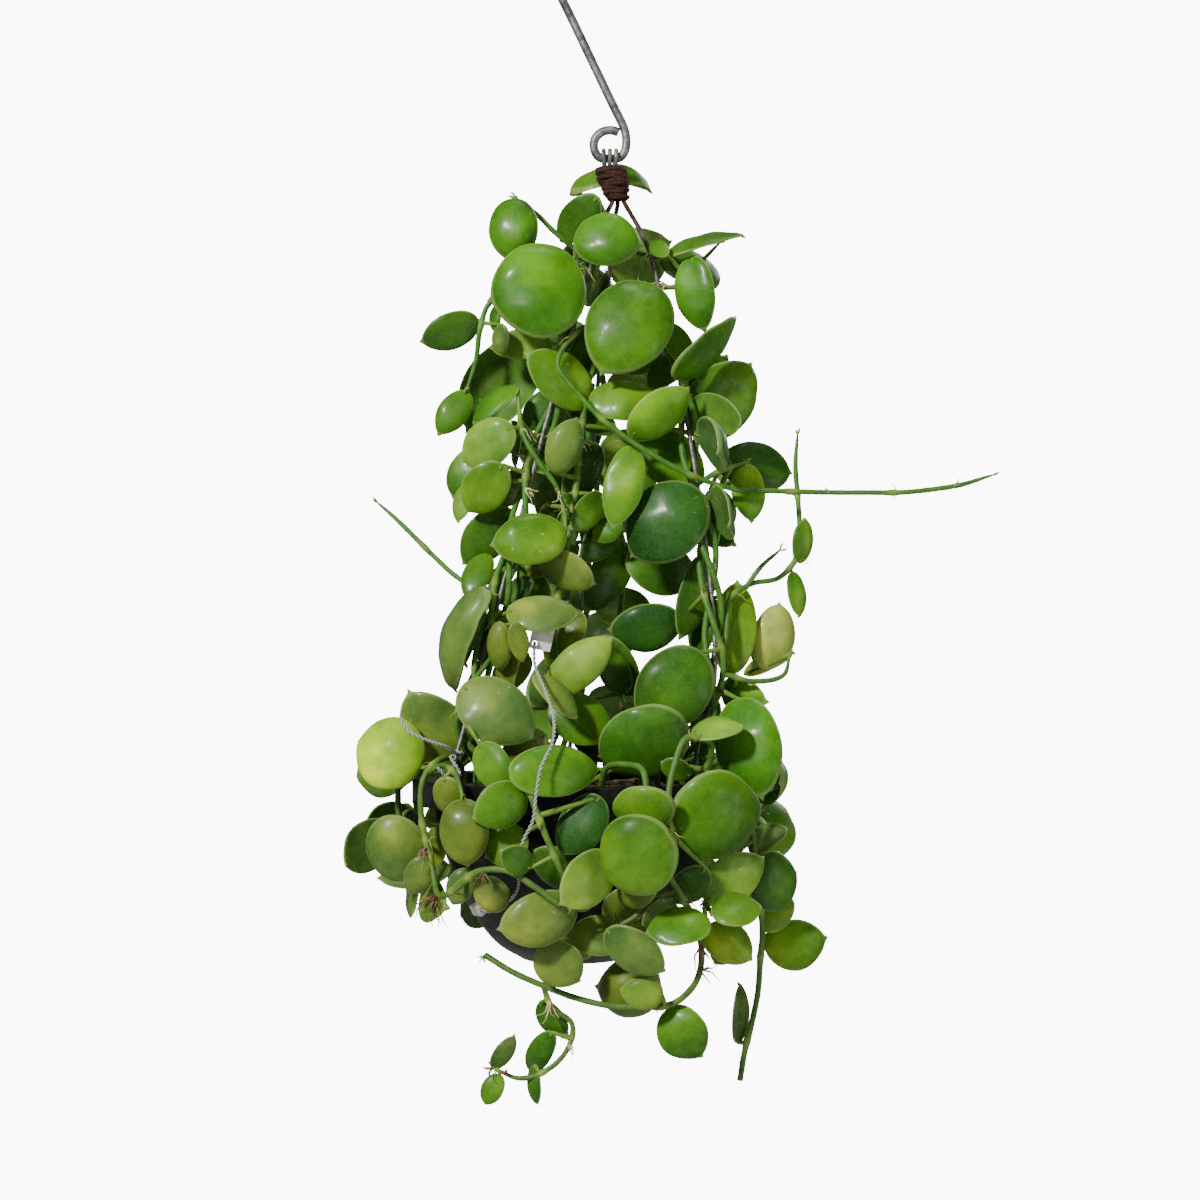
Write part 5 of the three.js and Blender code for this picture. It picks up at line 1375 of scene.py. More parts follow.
def living_skin():
    """Soft blotches and fine grain on a leaf's or a stem's own colour."""
    nodes, given, made = new_group(
        "living_skin", {"Place": None, "Tint": (0.2, 0.4, 0.05, 1), "Blotch": 0.25, "Size": 90.0},
        ("Color", "Roughness", "Height"))
    broad = nodes.noise(given["Place"], given["Size"], 4, 0.5, 0.4)
    lumps = nodes.noise(given["Place"], 260, 3)
    grain = nodes.noise(given["Place"], 900, 2)
    patches = nodes.ramp(nodes.blend(broad, 0.66, lumps, 0.34), 0.38, 0.62)
    shade = nodes.mix(patches, (0.46, 0.58, 0.7), (1.8, 1.42, 1.1))
    tinted = nodes.mix(given["Blotch"], given["Tint"], nodes.mix(1.0, given["Tint"], shade, "MULTIPLY"))
    nodes.fill(made["Color"], nodes.mix(nodes.ramp(grain, 0.4, 0.8, 0, 0.10), tinted, (0.26, 0.42, 0.10)))
    rough = nodes.math("ADD", nodes.ramp(patches, 0, 1, 0, 0.08), nodes.ramp(grain, 0.3, 0.7, 0, 0.08))
    nodes.fill(made["Roughness"], rough)
    nodes.fill(made["Height"], nodes.blend(lumps, 0.8, grain, 0.2))
    return nodes.tree


def crusted_rust():
    """Crusted rust: brown, orange and nearly black patches, with their heights."""
    nodes, given, made = new_group("crusted_rust", {"Place": None, "Size": 500.0}, ("Color", "Height"))
    crust = nodes.noise(given["Place"], given["Size"], 6, 0.65)
    fine = nodes.noise(given["Place"], 1900, 3)
    dark = nodes.mix(nodes.ramp(crust, 0.38, 0.62), (0.012, 0.005, 0.004), (0.075, 0.022, 0.012))
    nodes.fill(made["Color"], nodes.mix(nodes.ramp(fine, 0.56, 0.74), dark, (0.15, 0.048, 0.02)))
    nodes.fill(made["Height"], nodes.math("ADD", crust, nodes.math("MULTIPLY", fine, 0.4)))
    return nodes.tree


def weathered_zinc():
    """Weathered zinc: cloudy grey with pale bloom and dark pits."""
    nodes, given, made = new_group(
        "weathered_zinc", {"Place": None, "Light": (0.42, 0.45, 0.48, 1), "Dark": (0.16, 0.17, 0.18, 1)},
        ("Color", "Roughness", "Height"))
    cloud = nodes.noise(given["Place"], 260, 5, 0.6)
    pits = nodes.noise(given["Place"], 1300, 4, 0.6)
    colour = nodes.mix(nodes.ramp(cloud, 0.35, 0.65), given["Dark"], given["Light"])
    nodes.fill(made["Color"], nodes.mix(nodes.ramp(pits, 0.58, 0.7, 0, 0.6), colour, (0.07, 0.07, 0.075)))
    nodes.fill(made["Roughness"], nodes.ramp(cloud, 0.3, 0.7, 0.62, 0.4))
    nodes.fill(made["Height"], nodes.math("ADD", nodes.math("MULTIPLY", cloud, 0.4), pits))
    return nodes.tree


def leaf_material():
    """Waxy leaf: its own tint in soft blotches, a thin paler rim that is partly the margin's own colour and
    partly a painted edge highlight, a faint fold and scattered pale dots.
    """
    looks = bpy.context.scene.dischidia_looks
    leaf = Surface("living_leaf", Subsurface_Weight=looks.leaf_glow, Subsurface_Scale=0.003,
                   Subsurface_Radius=(0.6, 1.0, 0.15), Specular_IOR_Level=0.2, Coat_Roughness=0.18)
    tint, rim = leaf.marks()
    across, along, _ = leaf.apart(leaf.add("ShaderNodeUVMap", uv_map="run").outputs["UV"])
    skin = leaf.group(living_skin, Place=leaf.place, Tint=tint, Blotch=looks.leaf_blotch, Size=75.0)
    off_middle = leaf.math("ABSOLUTE", leaf.math("SUBTRACT", across, 0.5), 0)
    fold = leaf.math("MULTIPLY", leaf.ramp(off_middle, 0.0, 0.022, 1, 0), leaf.ramp(along, 0.1, 0.6, 0.22, 0))
    far = leaf.made("ShaderNodeTexVoronoi", "Distance", {"feature": "F1"}, Vector=leaf.place, Scale=230)
    few = leaf.ramp(leaf.noise(leaf.place, 38, 1), 0.6, 0.68)
    dot = leaf.math("MULTIPLY", leaf.ramp(far, 0.08, 0.17, 0.6, 0), few)
    colour = leaf.mix(fold, skin["Color"], leaf.mix(0.45, tint, (0.30, 0.50, 0.10)))
    # The paler rim is partly the margin's own colour and partly a painted edge highlight.
    rim_and_edge_highlight = leaf.mix(0.6, tint, (0.42, 0.55, 0.18))
    colour = leaf.mix(leaf.ramp(rim, 0.94, 0.985, 0, 0.62), colour, rim_and_edge_highlight)
    leaf.feed(Base_Color=leaf.mix(dot, colour, (0.50, 0.62, 0.30)),
              Roughness=leaf.math("ADD", skin["Roughness"], looks.leaf_roughness),
              Coat_Weight=leaf.ramp(skin["Height"], 0.42, 0.62, 0.02, 0.34))
    leaf.bump(skin["Height"], 0.0003, 0.4)
    return leaf.material


def stem_material():
    """Green stems, yellower at their nodes, with brown and cream roots by their marks."""
    stem = Surface("living_stem", Specular_IOR_Level=0.4)
    tint, _ = stem.marks()
    skin = stem.group(living_skin, Place=stem.place, Tint=tint, Blotch=0.5, Size=240.0)
    stem.feed(Base_Color=skin["Color"], Roughness=stem.math("ADD", skin["Roughness"], 0.42))
    stem.bump(skin["Height"], 0.0002, 0.5)
    return stem.material


def hook_material():
    hook = Surface("galvanised_hook", Metallic=0.75)
    light = tuple(bpy.context.scene.dischidia_looks.zinc)
    zinc = hook.group(weathered_zinc, Place=hook.place, Light=light, Dark=(0.09, 0.095, 0.095))
    hook.feed(Base_Color=zinc["Color"], Roughness=zinc["Roughness"])
    hook.bump(zinc["Height"], 0.0003, 0.5)
    return hook.material


def hanger_material():
    """Thin grey wire that is rusty by the binding and weathered below it."""
    wire = Surface("weathered_wire")
    zinc = wire.group(weathered_zinc, Place=wire.place, Light=(0.34, 0.34, 0.31), Dark=(0.10, 0.095, 0.085))
    rust = wire.group(crusted_rust, Place=wire.place, Size=420.0)
    _, _, height = wire.apart(wire.place)
    stray = wire.ramp(wire.noise(wire.place, 90), 0.3, 0.7, -0.022, 0.022)
    below = wire.ramp(wire.math("ADD", height, stray), -0.175, -0.128)
    rusty = wire.math("MULTIPLY", below, wire.ramp(height, -0.1125, -0.1105, 1, 0))
    wire.feed(Base_Color=wire.mix(rusty, zinc["Color"], rust["Color"]),
              Metallic=wire.ramp(rusty, 0, 1, 0.7, 0.1), Roughness=wire.ramp(rusty, 0, 1, 0.48, 0.85))
    wire.bump(rust["Height"], 0.0004, 0.5)
    return wire.material


def rust_material():
    binding = Surface("rusty_binding", Metallic=0.05, Roughness=0.86)
    rust = binding.group(crusted_rust, Place=binding.place, Size=330.0)
    binding.feed(Base_Color=rust["Color"])
    binding.bump(rust["Height"], 0.0009)
    return binding.material


def pot_material():
    """Black nursery plastic, with faint dust in patches and pale specks."""
    pot = Surface("black_pot_plastic", Specular_IOR_Level=0.25)
    dust = pot.ramp(pot.noise(pot.place, 55, 6, 0.6), 0.5, 0.8, 0, 0.3)
    specks = pot.ramp(pot.noise(pot.place, 1500, 2), 0.62, 0.75, 0, 0.25)
    black = tuple(bpy.context.scene.dischidia_looks.pot)
    pot.feed(Base_Color=pot.mix(pot.math("MAXIMUM", dust, specks), black, (0.06, 0.058, 0.048)),
             Roughness=pot.ramp(dust, 0, 0.3, 0.36, 0.6))
    pot.bump(pot.noise(pot.place, 700, 2), 0.0001, 0.5)
    return pot.material


def bark_material():
    """Damp bark and husk, each chip with its own shade."""
    bark = Surface("bark_and_husk", Roughness=0.88)
    tint, _ = bark.marks()
    streaks = bark.noise(bark.place, 420, 6, 0.65)
    bark.feed(Base_Color=bark.mix(bark.ramp(streaks, 0.3, 0.7), bark.mix(1.0, tint, 0.35, "MULTIPLY"), tint))
    bark.bump(streaks, 0.0008, 0.9)
    return bark.material


def mix_material():
    mix = Surface("dark_potting_mix", Roughness=0.95)
    crumbs = mix.noise(mix.place, 330, 8, 0.7)
    mix.feed(Base_Color=mix.mix(mix.ramp(crumbs, 0.35, 0.7), (0.010, 0.006, 0.004), (0.085, 0.048, 0.026)))
    mix.bump(crumbs, 0.002)
    return mix.material


def string_material():
    string = Surface("cotton_string", Roughness=0.9)
    fibres = string.noise(string.place, 2600, 3)
    strand = string.mix(string.ramp(fibres, 0.3, 0.7), (0.34, 0.37, 0.36), (0.62, 0.66, 0.64))
    tint, groove_shade = string.marks()
    # The string's core is painted dark as shade in the grooves of the twist.
    string.feed(Base_Color=string.mix(groove_shade, strand, tint))
    string.bump(fibres, 0.0002, 0.8)
    return string.material


def tag_material():
    tag = Surface("paper_tag", Roughness=0.75)
    stains = tag.noise(tag.place, 210, 4)
    fibres = tag.noise(tag.place, 1700, 3)
    colour = tag.mix(tag.ramp(stains, 0.45, 0.75, 0, 0.7), (0.85, 0.88, 0.76), (0.40, 0.44, 0.28))
    tag.feed(Base_Color=tag.mix(tag.ramp(fibres, 0.55, 0.8, 0, 0.3), colour, (0.55, 0.56, 0.5)))
    tag.bump(fibres, 0.0001, 0.5)
    return tag.material


def clip_material():
    clip = Surface("pale_clip_plastic", Specular_IOR_Level=0.5)
    cloud = clip.noise(clip.place, 500, 3)
    clip.feed(Base_Color=clip.mix(cloud, (0.50, 0.53, 0.50), (0.70, 0.72, 0.69)),
              Roughness=clip.ramp(cloud, 0.3, 0.7, 0.3, 0.5))
    clip.bump(clip.noise(clip.place, 1200, 2), 0.0001, 0.4)
    return clip.material


def floor_material():
    """Pale floor that looks nearly white to the camera, so that it casts little light on the plant."""
    floor = Surface("pale_floor", Roughness=0.9, Specular_IOR_Level=0.1, Emission_Color=(1, 1, 1))
    pale = tuple(bpy.context.scene.dischidia_looks.floor)
    seen_straight = floor.add("ShaderNodeLightPath").outputs["Is Camera Ray"]
    floor.feed(Base_Color=floor.mix(floor.noise(floor.place, 3, 2), pale, tuple(c * 0.985 for c in pale)),
               Emission_Strength=floor.math("MULTIPLY", seen_straight, FLOOR_GLOW))
    return floor.material


# Leaves and stems

LEAF_SEGMENTS = 28
LEAF_RINGS = 20
POINT_START = 0.948
SMALL_POINT = [0.968, 0.99, 1.016]
POINT_HALF_WIDTH = 1.15
RIPPLE = 0.24
FOLD_DEPTH = 0.3
LEAF_UNDERSIDE = (0.13, 0.21, 0.08)
ROOT_TINTS = {
    "pale": (206, 208, 150),
    "green": (150, 170, 92),
    "brown": (112, 86, 62),
    "rosy": (150, 112, 96),
}
ROOT_R = 0.34
TUFT_ROOT_R = 0.5
STEM_TINT = (66, 122, 34)
OLD_STEM_TINT = (84, 112, 50)
OLD_STEM_DOWN = 250
NODE_TINT = (140, 168, 70)
BARE_NODE_GAP = 45
# Tufts of aerial roots: [across, down, out, how many, length, tint, way across, way down]
ROOT_TUFTS = [
    [20, 151, 20, 8, 15, "pale", -2.2, -0.2],
    [24, 154, 20, 8, 12, "pale", 1.4, -0.4],
    [-40, 238, 25, 5, 8, "pale", 0.2, 0.5],
    [-26, 246, 27, 5, 9, "pale", 0.4, 0.5],
    [45, 269, 22, 4, 9, "pale", -0.2, 1.0],
    [-72, 384, 45, 6, 8, "rosy", -0.6, 0.6],
    [-69, 403, 53, 16, 14, "brown", -0.7, 0.8],
    [-52, 395, 69, 4, 7, "brown", 0.0, 1.0],
    [24, 425, 60, 5, 12, "rosy", 0.3, 0.7],
    [26, 431, 58, 5, 10, "rosy", 0.9, 0.3],
    [-29, 446, 46, 4, 13, "pale", 0.3, 1.0],
    [-17, 462, 45, 4, 7, "pale", 0.8, 0.3],
    [-43, 475, 42, 5, 5, "rosy", 0.1, -0.5],
    [-50, 427, 42, 5, 5, "green", -0.4, 0.7],
    [87, 242, 20, 4, 3, "green", 0.1, -0.8],
    [137, 240, 14, 4, 3, "green", 0.2, -0.8],
    [52, 358, 58, 3, 9, "pale", 0.0, 1.0],
]


def unit_leaf():
    """A sphere whose poles are a leaf's base and tip. For each point it says how far along the leaf,
    how far across and how far up it is, and it gives the faces."""
    points, faces = primitive(bpy.ops.mesh.primitive_uv_sphere_add, segments=LEAF_SEGMENTS,
                              ring_count=LEAF_RINGS, radius=1)
    rings = np.rint(np.arccos(np.clip(-points[:, 2], -1, 1)) / math.pi * LEAF_RINGS).astype(int)
    body = LEAF_BROADEST - LEAF_HALF_RUN * np.cos(np.linspace(0, 0.925 * math.pi, LEAF_RINGS - 2))
    t = np.concatenate([body, SMALL_POINT])[rings]
    turns = np.arctan2(points[:, 1], points[:, 0])
    quads = [face for face in faces if len(face) == 4]
    triangles = [face for face in faces if len(face) == 3]
    return t, signed_power(np.cos(turns), 0.8), signed_power(np.sin(turns), 0.6), quads, triangles


def leaf_shell(leaf, t, s, up, draw):
    """The points of a thick leaf with round edges, a little lopsided, and a small point at its tip."""
    broad = outline(t)
    pointed = 0.1 + 0.22 * next(draw)
    lopsided = 0.16 * either_way(draw)
    half = 0.5 * leaf.width * broad * (1 - pointed * np.clip((t - 0.5) / 0.46, 0, 1) ** 2)
    half = half * (1 + lopsided * s)
    tip_share = np.clip((SMALL_POINT[-1] - t) / (SMALL_POINT[-1] - SMALL_POINT[0]), 0, 1) ** 1.3
    point = tip_share * min(POINT_HALF_WIDTH, 0.06 * leaf.length)
    is_point = t > POINT_START
    half = np.where(is_point, np.minimum(point, half + 1), half)
    thick = np.where(is_point, point * 0.8, leaf.half_thick(np.clip(t, -0.0199, 0.9599)) * 0.82)
    thick = np.where(t < -0.019, 0, thick)
    wave_turn, wave_size = 6.3 * next(draw), 0.018 * leaf.width * next(draw)
    cup = -0.03 * leaf.width * either_way(draw)
    sickle = 0.05 * leaf.length * either_way(draw)
    rise = leaf.kind["dome"] * leaf.width * broad * (1 - np.abs(s) ** 2.6) * leaf.kind["swell"]
    rise += leaf.kind["arch"] * leaf.length * 4 * t * (1 - t)
    for _ in range(3):
        turn, wave, phase = any_turn(draw), 9 + 13 * next(draw), 6.3 * next(draw)
        run = t * leaf.length * math.cos(turn) + s * half * math.sin(turn)
        rise += RIPPLE * min(1, leaf.width / 26) * np.sin(2 * math.pi * run / wave + phase)
    fold = np.exp(-(s * half / 1.6) ** 2) * np.clip(1 - t / 0.7, 0, 1) * np.clip(t / 0.1, 0, 1)
    rise -= FOLD_DEPTH * fold * (not leaf.is_pouch)
    rise += wave_size * np.sin(5.5 * t + wave_turn + 1.5 * s) * s * s + cup * s * s
    rise += np.where(is_point, -0.9 * (t - POINT_START) / 0.05, 0)
    across = s * half + sickle * 4 * t * (1 - t)
    return (leaf.base + leaf.along * (t * leaf.length)[:, None] + leaf.side * across[:, None]
            + leaf.face * (rise + up * thick)[:, None])


def leaf_marks(leaf, t, s, up, draw):
    """The colour of each point of a leaf, and how near it is to the rim."""
    u = (t - LEAF_BROADEST) / LEAF_HALF_RUN
    side = s * outline(t)
    rim = np.clip(np.sqrt(u * u + side * side), 0, 1)
    rim = np.where(t > POINT_START, 1.0, rim)
    light = 1 + 0.24 * either_way(draw)
    warmth = 0.2 * either_way(draw)
    # A leaf's tint. For the two darkest greens it is partly painted shade.
    colour = linear(LEAF_TINTS[leaf.tint]) * bpy.context.scene.dischidia_looks.leaf_light
    colour = colour * vector(light * (1 + warmth), light, light)
    spot_t, spot_s = 0.15 + 0.6 * next(draw), 1.3 * either_way(draw)
    patch = np.exp(-((t - spot_t) ** 2 / 0.05 + (side - spot_s) ** 2 / 0.22))
    turn = any_turn(draw)
    slope = 0.88 + 0.26 * (math.cos(turn) * u + math.sin(turn) * side)
    tone = slope + 0.6 * next(draw) * patch
    rgb = colour * tone[:, None] ** np.array([1.5, 1.0, 0.9])
    under = 0.6 * np.clip(0.5 - up * 1.2, 0, 1)[:, None]
    rgb = rgb * (1 - under) + 0.5 * (colour + np.array(LEAF_UNDERSIDE)) * under
    return np.concatenate([rgb, rim[:, None]], axis=1)


def stalk(skin, leaf):
    """The short stalk from a stem to the underside of a leaf's base."""
    into = leaf.points([0.07], [0], [0])[0]
    line = smooth_line([leaf.start, leaf.base + (leaf.start - leaf.base) * 0.3, leaf.base, into], 4)
    share = np.linspace(0, 1, len(line))
    radii = 1.15 - 0.4 * np.minimum(1, share * 2.2) - 0.22 * share ** 4
    scale = 0.55 + 0.45 * min(1, leaf.length / 22)
    stem_end = (linear(NODE_TINT) + linear(STEM_TINT)) / 2
    tint = stem_end * (1 - share)[:, None] + linear(LEAF_TINTS["mid"]) * share[:, None]
    add_tube(skin, line, radii * scale, 10, np.concatenate([tint, np.zeros((len(line), 1))], axis=1))


def inside_box(points):
    """Points kept inside the part's own box."""
    low, high = (np.array(corner) / MM for corner in CAD_BOX)
    return np.clip(points, low + 0.3, high - 0.3)


def aerial_root(skin, start, way, length, tint, draw, thick=ROOT_R):
    """A thin root that wanders off from a node and droops."""
    steps = 9
    line = [start]
    way = unit(way)
    length = length * bpy.context.scene.dischidia_sizes.root_share
    for _ in range(steps):
        stray = vector(either_way(draw), either_way(draw), next(draw) - 0.62)
        way = unit(way + 0.85 * stray)
        line.append(line[-1] + way * length / steps)
    line = inside_box(smooth_line(line, 2))
    radii = thick * (1 - 0.72 * np.linspace(0, 1, len(line)))
    shade = 0.8 + 0.4 * next(draw)
    add_tube(skin, line, radii, 5, np.array([*linear(ROOT_TINTS[tint]) * shade, 0]))


def bud(skin, start, way, across, length):
    """A pair of tiny folded leaves at a growing tip or a bare node."""
    for hand in (1, -1):
        end = start + unit(way + across * 0.45 * hand) * length
        middle = (start + end) / 2 + across * hand * length * 0.16
        line = smooth_line([start, middle, end], 4)
        share = np.linspace(0, 1, len(line))
        radii = 0.42 * np.sin(math.pi * (0.12 + 0.86 * share)) + 0.05
        add_tube(skin, line, radii, 6, np.array([*linear(NODE_TINT) * 0.9, 1]))


def stem_skin(skin, vine, line, radius, is_shoot, draw):
    """A stem along its line, thicker and yellower at its nodes and thin at a free tip."""
    lengths = line_lengths(line)
    radii = np.full(len(line), radius) * (1 + 0.03 * np.sin(lengths * 0.9))
    nodes = []
    for leaf in vine.leaves:
        fars = lengths_of(line - leaf.start)
        if fars.min() < 1.5:
            nodes.append(lengths[fars.argmin()])
    if is_shoot:
        free = lengths[-1] - max([lengths[0], *nodes])
        bare = int(free // BARE_NODE_GAP)
        nodes.extend(lengths[-1] - free * (k + 1) / (bare + 1) for k in range(bare))
        taper = np.clip((lengths[-1] - lengths) / 14, 0, 1)
        radii = radii * (0.38 + 0.62 * taper ** 0.6)
    near = np.zeros(len(line))
    for place in nodes:
        near = np.maximum(near, np.exp(-((lengths - place) / 1.9) ** 2))
    radii = radii * (1 + 0.3 * near)
    near = near[:, None]
    old = np.clip((-line[:, 2:] - OLD_STEM_DOWN) / 150, 0, 1) * 0.6
    colour = linear(STEM_TINT) * (1 - old) + linear(OLD_STEM_TINT) * old
    colour = colour * (1 - 0.75 * near) + linear(NODE_TINT) * 0.75 * near
    add_tube(skin, line, radii, 12, np.concatenate([colour, near], axis=1))
    ways, across, up = line_frames(line)
    for place in nodes:
        i = int(np.searchsorted(lengths, place).clip(0, len(line) - 1))
        dark, share = ("brown", 0.4) if -line[i][2] > OLD_STEM_DOWN else ("pale", 0.6)
        for _ in range(int(next(draw) * 4.2)):
            turn = any_turn(draw)
            out = across[i] * math.cos(turn) + up[i] * math.sin(turn)
            tint = dark if next(draw) < share else "green"
            start = line[i] + out * radius * 0.8
            aerial_root(skin, start, out + 0.4 * ways[i], 2.5 + 6 * next(draw) ** 2, tint, draw)
    if is_shoot:
        bud(skin, line[-1], ways[-1], across[-1], 3.2)


def tufts_of(vines):
    """The tufts of roots that each vine carries: those to which its stems come nearest."""
    owned = {name: [] for name in vines}
    for tuft in ROOT_TUFTS:
        start = seen(tuft[:3])
        fars = {name: lengths_of(np.concatenate(vine.lines) - start).min() for name, vine in vines.items()}
        owned[min(fars, key=fars.get)].append(tuft)
    return owned


def dress_vine(vine, tufts, shape, leaf_finish, stem_finish):
    """Makes the leaves of a vine one piece, and its stems, stalks and roots another."""
    draw = draws(sum(ord(letter) for letter in vine.name) * 97 + 5)
    t, s, up, quads, triangles = shape
    spots = np.stack([(s + 1) / 2, t], axis=1)
    leaves = Skin()
    for leaf in vine.leaves:
        points = leaf_shell(leaf, t, s, up, draw)
        leaves.add(points, quads, triangles, leaf_marks(leaf, t, s, up, draw), spots)
    stems = Skin()
    for k, (rings, radius) in enumerate(vine.tubes):
        stem_skin(stems, vine, smooth_line(rings, 6), radius, k > 0, draw)
    for leaf in vine.leaves:
        stalk(stems, leaf)
    lines = np.concatenate(vine.lines)
    for *place, many, length, tint, way_across, way_down in tufts:
        nearest = lines[lengths_of(lines - seen(place)).argmin()]
        for _ in range(many):
            stray = vector(either_way(draw), either_way(draw), either_way(draw))
            way = vector(way_across, -0.9, -way_down) + 1.1 * stray
            reach = length * (0.5 + 0.6 * next(draw))
            aerial_root(stems, nearest + unit(way) * 0.8, way, reach, tint, draw, TUFT_ROOT_R)
    short = vine.name.removeprefix("vine_")
    dress(leaves.piece(f"leaves_{short}", leaf_finish), PLANT_BODY, "foliage", vine.name)
    dress(stems.piece(f"stems_{short}", stem_finish), PLANT_BODY, "foliage", vine.name)


# Pieces round the plants

WIRE_END_SHARE = 0.75
BINDING_LAYS = ((8.5, 0.0, 0.8, 0.65), (-4.5, 1.1, 0.75, 0.3))
BINDING_STEPS = 26
BINDING_SIDES = 30
RUST_MARK = (0.1, 0.05, 0.03, 0)
STRAND_MARK = (0.8, 0.8, 0.8, 0)
# The near-black core is painted shade for the grooves between the string's two strands.
GROOVE_SHADE_MARK = (0.09, 0.10, 0.09, 1)
MERGE = 0.000005
MIX_GRAIN = 0.0014
MIX_RISE = 0.55
CHIP_BED_R = 49
CHIP_COLOUR = (0.16, 0.085, 0.045)
FIBRES = 70
FIBRE_BED_R = 47
FIBRE_REACH = 51
FIBRE_R = 0.16
FIBRE_MARK = (0.22, 0.13, 0.06, 0)


def metal_tube(name, route, radius, sides, per_run, material):
    """A bent wire with slightly rounded ends, as a curve with a round bevel made into a mesh."""
    line = smooth_line(route, per_run) * MM
    curve = bpy.data.curves.new(name, "CURVE")
    curve.dimensions = "3D"
    curve.bevel_depth = radius * MM
    curve.bevel_resolution = sides // 4
    curve.use_fill_caps = True
    spline = curve.splines.new("POLY")
    spline.points.add(len(line) - 1)
    for point, place in zip(spline.points, line):
        point.co = (*place, 1)
    for end in (0, -1):
        spline.points[end].radius = WIRE_END_SHARE
    only(add_object(name, curve))
    bpy.ops.object.convert(target="MESH")
    piece = bpy.context.object
    piece.name = name
    piece.data.materials.append(material)
    piece.data.polygons.foreach_set("use_smooth", [len(face.vertices) == 4 for face in piece.data.polygons])
    return piece


def twisted_string(name, route, radius, material):
    """Two strands laid round each other along a route, over a dark core that is painted shade in the grooves
    between them. The piece, and its middle line in metres.
    """
    line = smooth_line(route, 10)
    lengths = line_lengths(line)
    evenly = np.arange(0, lengths[-1], 0.55)
    line = np.stack([np.interp(evenly, lengths, line[:, k]) for k in range(3)], axis=1)
    line = np.concatenate([line, [route[-1]]])
    _, across, up = line_frames(line)
    skin = Skin()
    turns = line_lengths(line) * 2 * math.pi / STRING_LAY
    for phase_start in (0, math.pi):
        phase = (turns + phase_start)[:, None]
        strand_line = line + (across * np.cos(phase) + up * np.sin(phase)) * radius * 0.47
        add_tube(skin, strand_line, radius * 0.5, 8, STRAND_MARK)
    add_tube(skin, line, radius * 0.62, 6, GROOVE_SHADE_MARK)
    return skin.piece(name, material), line * MM


def binding_skin(draw):
    """Rusty wire wound round the six strands: two lays of turns over a lumpy crust."""
    skin = Skin()
    levels = np.linspace(0, BINDING_LENGTH, len(BINDING_WAISTS))

    def crust_r(down):
        return np.interp(down, levels, BINDING_WAISTS) * BINDING_R

    for turns, phase, wire_r, inset in BINDING_LAYS:
        share = np.linspace(0, 1, 240)
        down = 0.5 + share * (BINDING_LENGTH - 1)
        angle = 2 * math.pi * turns * share + phase
        reach = crust_r(down) - wire_r - inset
        reach += 0.35 * np.sin(angle * 2.3 + 4 * share) + 0.2 * np.sin(share * 41)
        down = BINDING_TOP_DOWN + down + 0.25 * np.sin(angle * 1.7)
        line = np.stack([reach * np.cos(angle) + lean_of(down), reach * np.sin(angle), -down], axis=1)
        radii = wire_r * (1 + 0.13 * np.sin(share * 97) + 0.1 * np.sin(share * 53 + 2))
        add_tube(skin, line, radii, 9, RUST_MARK)
    sides = BINDING_SIDES
    turn = 2 * math.pi * np.arange(sides) / sides
    inner = STRAND_RING_R + HANGER_WIRE_R + 2 * SEAT_GAP

    def ring(reach, down):
        down = BINDING_TOP_DOWN + down
        across = reach * np.cos(turn) + lean_of(down)
        return np.stack([across, reach * np.sin(turn), np.full(sides, -down)], axis=1)

    rings = []
    for down in np.linspace(0, BINDING_LENGTH, BINDING_STEPS):
        reach = crust_r(down) * 0.86
        reach = reach * (1 + 0.08 * np.sin(3 * turn + down) + 0.06 * np.sin(7 * turn - 1.7 * down))
        reach += 0.5 * np.array([either_way(draw) for _ in range(sides)])
        rings.append(ring(reach, down))
    rings += [ring(inner, down) for down in (BINDING_LENGTH, 0)]
    k, j = np.indices((len(rings), sides)).reshape(2, -1)
    this, after = k * sides, (k + 1) % len(rings) * sides
    beside = (j + 1) % sides
    quads = np.stack([after + j, after + beside, this + beside, this + j], axis=1)
    points = np.concatenate(rings)
    skin.add(points, quads, [], RUST_MARK, points[:, :2] * 0)
    return skin


